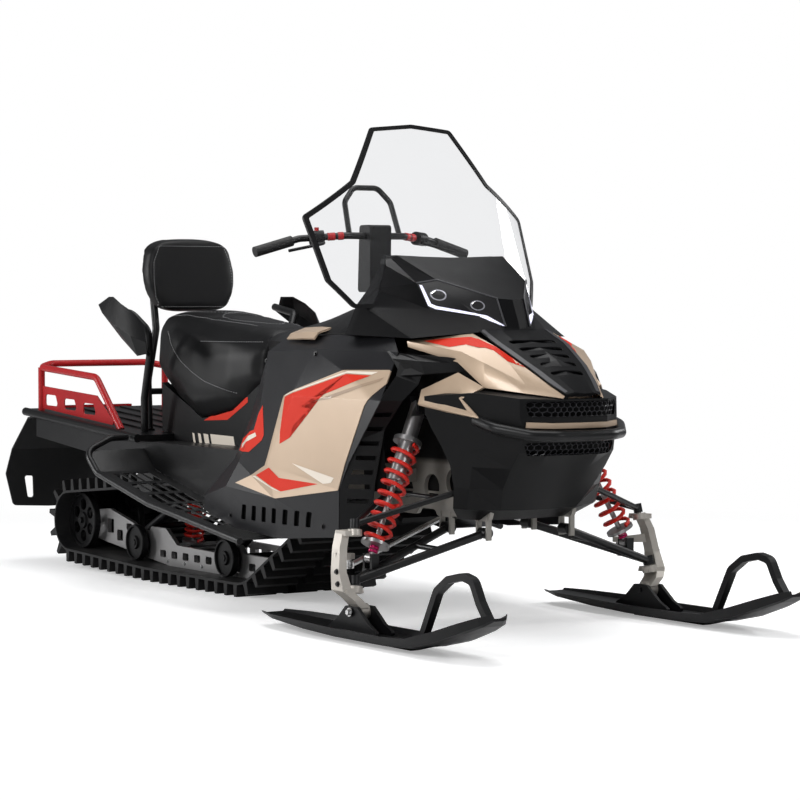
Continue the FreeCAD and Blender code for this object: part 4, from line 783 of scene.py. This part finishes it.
def hexagon_net(name, y_half, z_low, z_high, cell):
    """A wire net of hexagons on the grille's face."""
    bm = bmesh.new()
    for row in range(int((z_high - z_low) / (cell * 1.2)) + 1):
        z = z_low + row * cell * 1.2
        y = -y_half + (cell * 0.87 if row % 2 else 0)
        while y <= y_half:
            corners = []
            for k in range(6):
                angle = math.pi / 6 + math.pi * k / 3
                place = (0, y + cell * math.cos(angle), z + cell * 0.8 * math.sin(angle))
                corners.append(bm.verts.new(place))
            bm.faces.new(corners)
            y += cell * 1.74
    bmesh.ops.remove_doubles(bm, verts=bm.verts[:], dist=cell * 0.2)
    for vertex in bm.verts:
        vertex.co.x = nose_x(vertex.co.y, vertex.co.z) - 0.002
    piece = piece_from(name, mesh_from(name, bm), FINISH["net"])
    wires = piece.modifiers.new("wires", "WIREFRAME")
    wires.thickness = 0.0034
    return piece


def shade_sheet_wall(name, y_half, z_low, z_high, depth):
    """A dark wall of painted shade behind the net, in place of the shaded inside of the nose."""
    bm = bmesh.new()
    rows = []
    for row in range(9):
        z = z_low + (z_high - z_low) * row / 8
        ys = [-y_half + 2 * y_half * i / 16 for i in range(17)]
        rows.append([bm.verts.new((nose_x(y, z) - depth, y, z)) for y in ys])
    for low, high in zip(rows, rows[1:]):
        for i in range(16):
            bm.faces.new((low[i], low[i + 1], high[i + 1], high[i]))
    piece = piece_from(name, mesh_from(name, bm), FINISH["shade_sheet"])
    sheet = piece.modifiers.new("sheet", "SOLIDIFY")
    sheet.thickness = 0.002
    return piece


nose_net = hexagon_net("nose_net", 0.16, 0.532, 0.688, 0.0115)
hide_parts("grille")
shade_sheet_wall("nose_shade_sheet", 0.166, 0.526, 0.695, 0.016)
print("grille net done")

# %% Sheets of painted shade behind the slots
SHADE_SHEET_THICKNESS = 0.0015
SHADE_SHEET_DEPTH = 0.011
SLOT_BACK, SLOT_FRONT = 0.197, 0.629
SLOT_LOW, SLOT_HIGH = 0.286, 0.346


def painted_shade_sheet(name, mesh):
    """A thin dark sheet of painted shade, so that no background shows through some slots."""
    piece = piece_from(name, mesh, FINISH["shade_sheet"])
    piece.modifiers.new("sheet", "SOLIDIFY").thickness = SHADE_SHEET_THICKNESS


def frame_shade_sheet(name, side):
    """A flat sheet of painted shade behind the slots of one front side frame."""
    middle = Vector((0.854, side * 0.369, 0.53))
    tall = Vector((0.148, side * 0.169, 0.974)) * 0.12
    wide = Vector((0.733, side * -0.678, 0.006)) * 0.034
    corners = [middle - tall - wide, middle - tall + wide, middle + tall + wide, middle + tall - wide]
    mesh = bpy.data.meshes.new(name)
    mesh.from_pydata([tuple(corner) for corner in corners], [], [(0, 1, 2, 3)])
    painted_shade_sheet(name, mesh)


def panel_shade_sheet(name, side, surface, columns=12):
    """A sheet of painted shade that follows the inside of a side panel along its row of slots."""
    bm = bmesh.new()
    inward = Vector((0, -side, 0))
    edges = []
    for i in range(columns):
        x = SLOT_BACK + (SLOT_FRONT - SLOT_BACK) * i / (columns - 1)
        edge = []
        for z in (SLOT_LOW, SLOT_HIGH):
            place, _, _, _ = surface.ray_cast(Vector((x, side * 0.7, z)), inward)
            edge.append(bm.verts.new(place + inward * SHADE_SHEET_DEPTH))
        edges.append(edge)
    for one, two in zip(edges, edges[1:]):
        bm.faces.new((one[0], two[0], two[1], one[1]))
    painted_shade_sheet(name, mesh_from(name, bm))


for label, side in SIDES:
    frame_shade_sheet("vent_shade_sheet_" + label, side)
for label, side in SIDES:
    panel_shade_sheet("panel_shade_sheet_" + label, side, panel)
print("screens done")

# %% [markdown]
# ## Soft pieces
# The seat and the backrest are modelled as stuffed covers. The plain solid is
# remeshed finely, then a short cloth simulation inflates it a little, and the
# seams are sewn on afterwards.

# %% Cushion helpers
def fine_copy(node, name, voxel, rounds):
    """A fine, slightly softened mesh made from a solid."""
    mesh = NODES[node].data.copy()
    holder = bpy.data.objects.new(name, mesh)
    bpy.context.scene.collection.objects.link(holder)
    remesh = holder.modifiers.new("fine", "REMESH")
    remesh.mode = "VOXEL"
    remesh.voxel_size = voxel
    relax = holder.modifiers.new("relax", "SMOOTH")
    relax.factor = 0.5
    relax.iterations = rounds
    view = bpy.context.evaluated_depsgraph_get()
    fine = bpy.data.meshes.new_from_object(holder.evaluated_get(view))
    bpy.data.objects.remove(holder)
    return fine


def pin_group(piece, is_pinned):
    """Hold the points of a cover that are fixed to its base."""
    group = piece.vertex_groups.new(name="pin")
    for vertex in piece.data.vertices:
        if is_pinned(vertex.co):
            group.add([vertex.index], 1.0, "ADD")
    return group


def calm(mesh, is_pinned, rounds):
    """Smooth the free part of a cover, so that it looks taut."""
    bm = bmesh.new()
    bm.from_mesh(mesh)
    free = [vertex for vertex in bm.verts if not is_pinned(vertex.co)]
    for _ in range(rounds):
        bmesh.ops.smooth_vert(bm, verts=free, factor=0.5, use_axis_x=True, use_axis_y=True, use_axis_z=True)
    bm.to_mesh(mesh)
    bm.free()


SIM_FRAMES = 20
CALM_ROUNDS = 20


def inflate(piece, is_pinned, pressure, cap):
    """Blow a cover up with a short cloth simulation, moving no point more than the cap."""
    rest = [vertex.co.copy() for vertex in piece.data.vertices]
    pin_group(piece, is_pinned)
    cloth = piece.modifiers.new("stuffing", "CLOTH")
    cloth.settings.use_pressure = True
    cloth.settings.uniform_pressure_force = pressure
    cloth.settings.effector_weights.gravity = 0.0
    cloth.settings.vertex_group_mass = "pin"
    cloth.settings.quality = 4
    cloth.settings.tension_stiffness = 25
    cloth.settings.compression_stiffness = 25
    cloth.point_cache.frame_start = 1
    cloth.point_cache.frame_end = SIM_FRAMES
    scene = bpy.context.scene
    for number in range(1, SIM_FRAMES + 1):
        scene.frame_set(number)
    view = bpy.context.evaluated_depsgraph_get()
    soft = bpy.data.meshes.new_from_object(piece.evaluated_get(view))
    piece.modifiers.clear()
    piece.vertex_groups.clear()
    for vertex, start, moved in zip(piece.data.vertices, rest, soft.vertices):
        step = moved.co - start
        if step.length > cap:
            step = step * (cap / step.length)
        vertex.co = start + step
    bpy.data.meshes.remove(soft)
    scene.frame_set(1)
    calm(piece.data, is_pinned, CALM_ROUNDS)


def shade_smooth(piece):
    """Shade all faces of a piece as one smooth surface."""
    for face in piece.data.polygons:
        face.use_smooth = True


# %% The seat
def crown_seat(mesh):
    """Raise the rider's and the passenger's places and sink the line between them."""
    for vertex in mesh.vertices:
        x, y, z = vertex.co
        if z < 0.86:
            continue
        share = max(0.0, 1 - (y / 0.15) ** 2)
        dip = math.exp(-((x + 0.53) / 0.02) ** 2)
        vertex.co.z += 0.006 * share - 0.012 * dip * share


seat = piece_from("seat_cover", fine_copy("seat", "seat_cover", 0.006, 22), FINISH["vinyl"])
crown_seat(seat.data)
inflate(seat, lambda co: co.z < 0.66, 4.0, 0.005)
shade_smooth(seat)
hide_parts("seat")
print("seat cover:", len(seat.data.vertices), "points")

# %% The backrest pad
pad = piece_from("backrest_cover", fine_copy("backrest_pad", "backrest_cover", 0.005, 10), FINISH["vinyl"])


def round_corners(mesh, power, taper):
    """Draw the four corners in and narrow the foot, so that the outline becomes a rounded pillow."""
    ys = [v.co.y for v in mesh.vertices]
    zs = [v.co.z for v in mesh.vertices]
    middle = Vector(((min(ys) + max(ys)) / 2, (min(zs) + max(zs)) / 2))
    half = Vector(((max(ys) - min(ys)) / 2, (max(zs) - min(zs)) / 2))
    for vertex in mesh.vertices:
        across = (vertex.co.y - middle.x) / half.x
        up = (vertex.co.z - middle.y) / half.y
        width = 1 - taper * max(0.0, -up) ** 2
        vertex.co.y = middle.x + across * width * half.x
        across *= width
        reach = (abs(across) ** power + abs(up) ** power) ** (1 / power)
        if reach > 1:
            vertex.co.y = middle.x + across / reach * half.x
            vertex.co.z = middle.y + up / reach * half.y


round_corners(pad.data, 3.1, 0.1)
inflate(pad, lambda co: co.x < -0.93, 4.0, 0.004)
shade_smooth(pad)
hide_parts("backrest_pad")
print("backrest cover:", len(pad.data.vertices), "points")

# %% Seams
THREAD_LIFT = 0.0006
THREAD_RADIUS = 0.0008
STITCH = 0.005
SWEEP_SEAM = [
    (-0.74, 0.873), (-0.711, 0.857), (-0.663, 0.81), (-0.616, 0.775), (-0.535, 0.737), (-0.455, 0.707),
    (-0.359, 0.687), (-0.28, 0.671),
]
BELT_SEAM = [(-0.5, 0.843), (-0.32, 0.843), (-0.18, 0.844)]
SHOULDER_SEAM = [(-0.8, 0.12), (-0.7, 0.128), (-0.6, 0.126), (-0.5, 0.112), (-0.4, 0.098), (-0.28, 0.084)]
PAD_SEAM = [
    (-0.135, 0.96), (-0.155, 1.0), (-0.16, 1.06), (-0.155, 1.12), (-0.13, 1.175), (0.13, 1.175),
    (0.155, 1.12), (0.16, 1.06), (0.155, 1.0), (0.135, 0.96), (-0.135, 0.96),
]


def tree_of(piece):
    """A search tree over a new piece."""
    places = [vertex.co.copy() for vertex in piece.data.vertices]
    return BVHTree.FromPolygons(places, [list(face.vertices) for face in piece.data.polygons])


def lay_line(points, towards, surface, lift, step):
    """A polyline resampled at a step and laid on a surface."""
    line = []
    for a, b in zip(points, points[1:]):
        count = max(1, int((b - a).length / step))
        for i in range(count):
            line.append(a.lerp(b, i / count))
    line.append(points[-1])
    laid = []
    for point in line:
        place, normal, _, _ = surface.ray_cast(point, towards)
        if place is not None:
            if normal.dot(towards) > 0:
                normal = -normal
            laid.append(place + normal * lift)
    return laid


def stitches(line, keep):
    """Cut a laid line into short stitches."""
    dashes = []
    for i in range(0, len(line) - 1, 2):
        dashes.append([line[i], line[i].lerp(line[i + 1], keep)])
    return dashes


seat_tree = tree_of(seat)
pad_tree = tree_of(pad)


def top_oval(centre_x, half_x, half_y, narrow):
    """A stitched oval on the top of the seat, narrower toward the front."""
    points = []
    for i in range(33):
        angle = 2 * math.pi * i / 32
        x = centre_x + half_x * math.cos(angle)
        y = half_y * math.sin(angle) * (1 - narrow * math.cos(angle))
        points.append(Vector((x, y, 1.2)))
    return lay_line(points, DOWN, seat_tree, THREAD_LIFT, STITCH)


seat_lines = [top_oval(-0.7, 0.1, 0.1, 0.1), top_oval(-0.43, 0.15, 0.085, 0.25)]
for side in (-1, 1):
    inward = Vector((0, -side, 0))
    for seam in (SWEEP_SEAM, BELT_SEAM):
        points = [Vector((x, side * 0.5, z)) for x, z in seam]
        seat_lines.append(lay_line(points, inward, seat_tree, THREAD_LIFT, STITCH))
    points = [Vector((x, side * y, 1.2)) for x, y in SHOULDER_SEAM]
    seat_lines.append(lay_line(points, DOWN, seat_tree, THREAD_LIFT, STITCH))
dashes = [dash for line in seat_lines for dash in stitches(line, 0.8)]
tube_piece("seat_stitching", dashes, THREAD_RADIUS, FINISH["thread"])
points = [Vector((0, y, z)) for y, z in PAD_SEAM]
pad_line = lay_line(points, Vector((-1, 0, 0)), pad_tree, THREAD_LIFT, STITCH)
tube_piece("backrest_stitching", stitches(pad_line, 0.8), THREAD_RADIUS, FINISH["thread"])
print("stitches:", len(dashes))

# %% [markdown]
# ## Bolts and small trim
# Bolts are small hexagon heads on washers. They go where the real machine shows them.

# %% Bolts
def bolt_mesh(bm, place, axis, radius):
    """A washer and a hexagon head on a surface."""
    turn = Vector((0, 0, 1)).rotation_difference(axis).to_matrix().to_4x4()
    washer = radius * 0.25
    for size, height, sides, low in ((radius * 1.5, washer, 20, 0.0), (radius, radius * 0.8, 6, washer)):
        move = Matrix.Translation(place + axis * (low + height / 2)) @ turn
        bmesh.ops.create_cone(
            bm, cap_ends=True, segments=sides, radius1=size, radius2=size * 0.94, depth=height, matrix=move)


def bolts(name, places, axis, radius, material, body="chassis"):
    bm = bmesh.new()
    for place in places:
        bolt_mesh(bm, Vector(place), Vector(axis).normalized(), radius)
    return piece_from(name, mesh_from(name, bm), material, body)


def on_surface(points, towards, surface):
    """Places where rays from the points meet a surface."""
    found = []
    for point in points:
        place, _, _, _ = surface.ray_cast(Vector(point), Vector(towards))
        if place is not None:
            found.append(place)
    return found


for label, side in SIDES:
    outward = Vector((0, side, 0))
    spots = [(0.14, side, 0.3), (0.12, side, 0.79), (0.67, side, 0.3), (0.55, side, 0.82)]
    bolts("panel_bolts_" + label, on_surface(spots, -outward, panel), outward, 0.006, FINISH["powder_black"])
    ski = surface_of("ski_" + label)
    spots = [(1.037, side * 0.62, 0.084)]
    body = "ski_leg_" + label
    bolts("ski_bolt_" + label, on_surface(spots, -outward, ski), outward, 0.009, FINISH["satin_steel"], body)
    post = surface_of("spindle_" + label)
    spots = [(1.006, side * 0.7, 0.2), (1.014, side * 0.7, 0.165)]
    places = on_surface(spots, -outward, post)
    bolts("spindle_bolts_" + label, places, outward, 0.006, FINISH["powder_black"], body)
    rails = surface_of("slide_rails")
    spots = [(-0.3 - 0.12 * i, side * 0.3, 0.064) for i in range(5)]
    bolts("rail_bolts_" + label, on_surface(spots, -outward, rails), outward, 0.005, FINISH["satin_steel"])
print("bolts done")

# %% Bar sleeves and the stop button
def ring_piece(name, runs, radius, material, body):
    """Short round sleeves with softened rims, given as start and end points."""
    bm = bmesh.new()
    for start, end in runs:
        axis = end - start
        turn = Vector((0, 0, 1)).rotation_difference(axis).to_matrix().to_4x4()
        move = Matrix.Translation(start + axis / 2) @ turn
        bmesh.ops.create_cone(
            bm, cap_ends=True, segments=28, radius1=radius, radius2=radius, depth=axis.length, matrix=move)
    piece = piece_from(name, mesh_from(name, bm), material, body)
    bevel = piece.modifiers.new("rim", "BEVEL")
    bevel.width = radius * 0.12
    bevel.segments = 2
    return piece


sleeves = []
for side in (-1, 1):
    outer, inner = Vector((0.247, side * 0.25, 1.18)), Vector((0.307, side * 0.11, 1.19))
    sleeves.append((outer.lerp(inner, 0.6), outer.lerp(inner, 0.76)))
    sleeves.append((outer.lerp(inner, 0.82), outer.lerp(inner, 0.94)))
ring_piece("bar_sleeves", sleeves, 0.0128, FINISH["powder_red"], "bars")
block = Vector((0.269, -0.198, 1.184))
button = [(block + Vector((0, 0, 0.019)), block + Vector((0, 0, 0.032)))]
ring_piece("stop_button", button, 0.0075, FINISH["powder_red"], "bars")
print("bar trim done")

# %% Adjusters of the front dampers
for label, side in SIDES:
    low, high = Vector((1.001, side * 0.476, 0.232)), Vector((0.937, side * 0.262, 0.672))
    axis = (high - low).normalized()
    collars = [(low + axis * 0.017, low + axis * 0.026), (low + axis * 0.028, low + axis * 0.0385)]
    ring_piece("adjuster_" + label, collars, 0.0145, FINISH["anodised"], "chassis")
print("adjusters done")

# %% [markdown]
# ## The studio
# A pale floor, a white background and five large soft lights. The camera stands
# where the photographer stood: low, in front, on the machine's right.

# %% Floor, background and lights
def make_floor():
    """A pale floor that keeps the shadow and fades into the background."""
    mesh = bpy.data.meshes.new("floor")
    size = 40.0
    corners = [(-size, -size, 0), (size, -size, 0), (size, size, 0), (-size, size, 0)]
    mesh.from_pydata(corners, [], [(0, 1, 2, 3)])
    floor = bpy.data.objects.new("floor", mesh)
    bpy.context.scene.collection.objects.link(floor)
    material = bpy.data.materials.new("studio floor")
    material.use_nodes = True
    tree = material.node_tree
    link = tree.links.new
    shader = tree.nodes["Principled BSDF"]
    shader.inputs["Base Color"].default_value = (0.92, 0.92, 0.92, 1)
    shader.inputs["Roughness"].default_value = 0.7
    shader.inputs["Specular IOR Level"].default_value = 0.2
    white = add_node(tree, "Emission")
    path = add_node(tree, "LightPath")
    place = add_node(tree, "TexCoord")
    far = add_node(tree, "VectorMath", operation="LENGTH")
    fade = add_node(tree, "MapRange", interpolation_type="SMOOTHSTEP")
    fade.inputs["From Min"].default_value = 2.2
    fade.inputs["From Max"].default_value = 4.2
    near = add_node(tree, "Emission")
    near.inputs["Strength"].default_value = 0.33
    both = add_node(tree, "AddShader")
    mix = add_node(tree, "MixShader")
    seen = add_node(tree, "MixShader")
    link(place.outputs["Object"], far.inputs[0])
    link(far.outputs["Value"], fade.inputs["Value"])
    link(shader.outputs[0], both.inputs[0])
    link(near.outputs[0], both.inputs[1])
    link(fade.outputs[0], mix.inputs[0])
    link(both.outputs[0], mix.inputs[1])
    link(white.outputs[0], mix.inputs[2])
    link(path.outputs["Is Camera Ray"], seen.inputs[0])
    link(shader.outputs[0], seen.inputs[1])
    link(mix.outputs[0], seen.inputs[2])
    link(seen.outputs[0], tree.nodes["Material Output"].inputs["Surface"])
    mesh.materials.append(material)
    return floor


def make_world():
    """White to the camera, a dimmer grey to everything that it lights."""
    world = bpy.data.worlds.new("studio")
    bpy.context.scene.world = world
    world.use_nodes = True
    tree = world.node_tree
    link = tree.links.new
    seen = tree.nodes["Background"]
    seen.inputs["Color"].default_value = (1, 1, 1, 1)
    light = add_node(tree, "Background")
    light.inputs["Color"].default_value = (0.2, 0.204, 0.212, 1)
    path = add_node(tree, "LightPath")
    through = add_node(tree, "Math", operation="MAXIMUM")
    mix = add_node(tree, "MixShader")
    link(path.outputs["Is Camera Ray"], through.inputs[0])
    link(path.outputs["Is Transmission Ray"], through.inputs[1])
    link(through.outputs[0], mix.inputs[0])
    link(light.outputs[0], mix.inputs[1])
    link(seen.outputs[0], mix.inputs[2])
    link(mix.outputs[0], tree.nodes["World Output"].inputs["Surface"])


def soft_light(name, place, target, size, power):
    """A large rectangular lamp that looks at a target."""
    data = bpy.data.lights.new(name, "AREA")
    data.shape = "RECTANGLE"
    data.size, data.size_y = size
    data.energy = power
    lamp_object = bpy.data.objects.new(name, data)
    bpy.context.scene.collection.objects.link(lamp_object)
    lamp_object.location = place
    aim = Vector(target) - Vector(place)
    lamp_object.rotation_euler = aim.to_track_quat("-Z", "Y").to_euler()
    return lamp_object


make_floor()
make_world()
soft_light("overhead", (0.2, 0.3, 4.2), (0.1, 0, 0.3), (4.4, 2.6), 130)
soft_light("front left of the camera", (2.4, -4.8, 2.8), (0.3, 0, 0.6), (1.2, 1.8), 115)
soft_light("side strip", (-3.4, -3.6, 1.8), (-0.2, 0, 0.6), (0.6, 2.2), 95)
soft_light("back rim", (1.2, 4.2, 2.6), (0.5, 0, 0.6), (2.6, 0.8), 70)
soft_light("nose strip", (5.2, 0.8, 2.2), (1.0, 0, 0.6), (0.5, 1.8), 30)
print("studio ready")

# %% The camera
PHOTO_WIDTH = 800
FOCAL_PIXELS = 2735.02
SENSOR_WIDTH = 36.0


def make_camera():
    """The photograph's view: bearing, tilt and lens found from the photograph itself."""
    bearing = math.radians(55.878)
    tilt = math.radians(2.165)
    back = Vector((math.sin(bearing) * math.cos(tilt), -math.cos(bearing) * math.cos(tilt), math.sin(tilt)))
    right = Vector((math.cos(bearing), math.sin(bearing), 0))
    up = back.cross(right)
    data = bpy.data.cameras.new("photograph")
    data.sensor_width = SENSOR_WIDTH
    data.lens = SENSOR_WIDTH * FOCAL_PIXELS / PHOTO_WIDTH
    camera = bpy.data.objects.new("photograph", data)
    bpy.context.scene.collection.objects.link(camera)
    turn = Matrix((right, up, back)).transposed().to_4x4()
    camera.matrix_world = Matrix.Translation((7.64014, -4.87224, 0.99573)) @ turn
    bpy.context.scene.camera = camera


make_camera()
bpy.context.scene.view_settings.view_transform = "Standard"
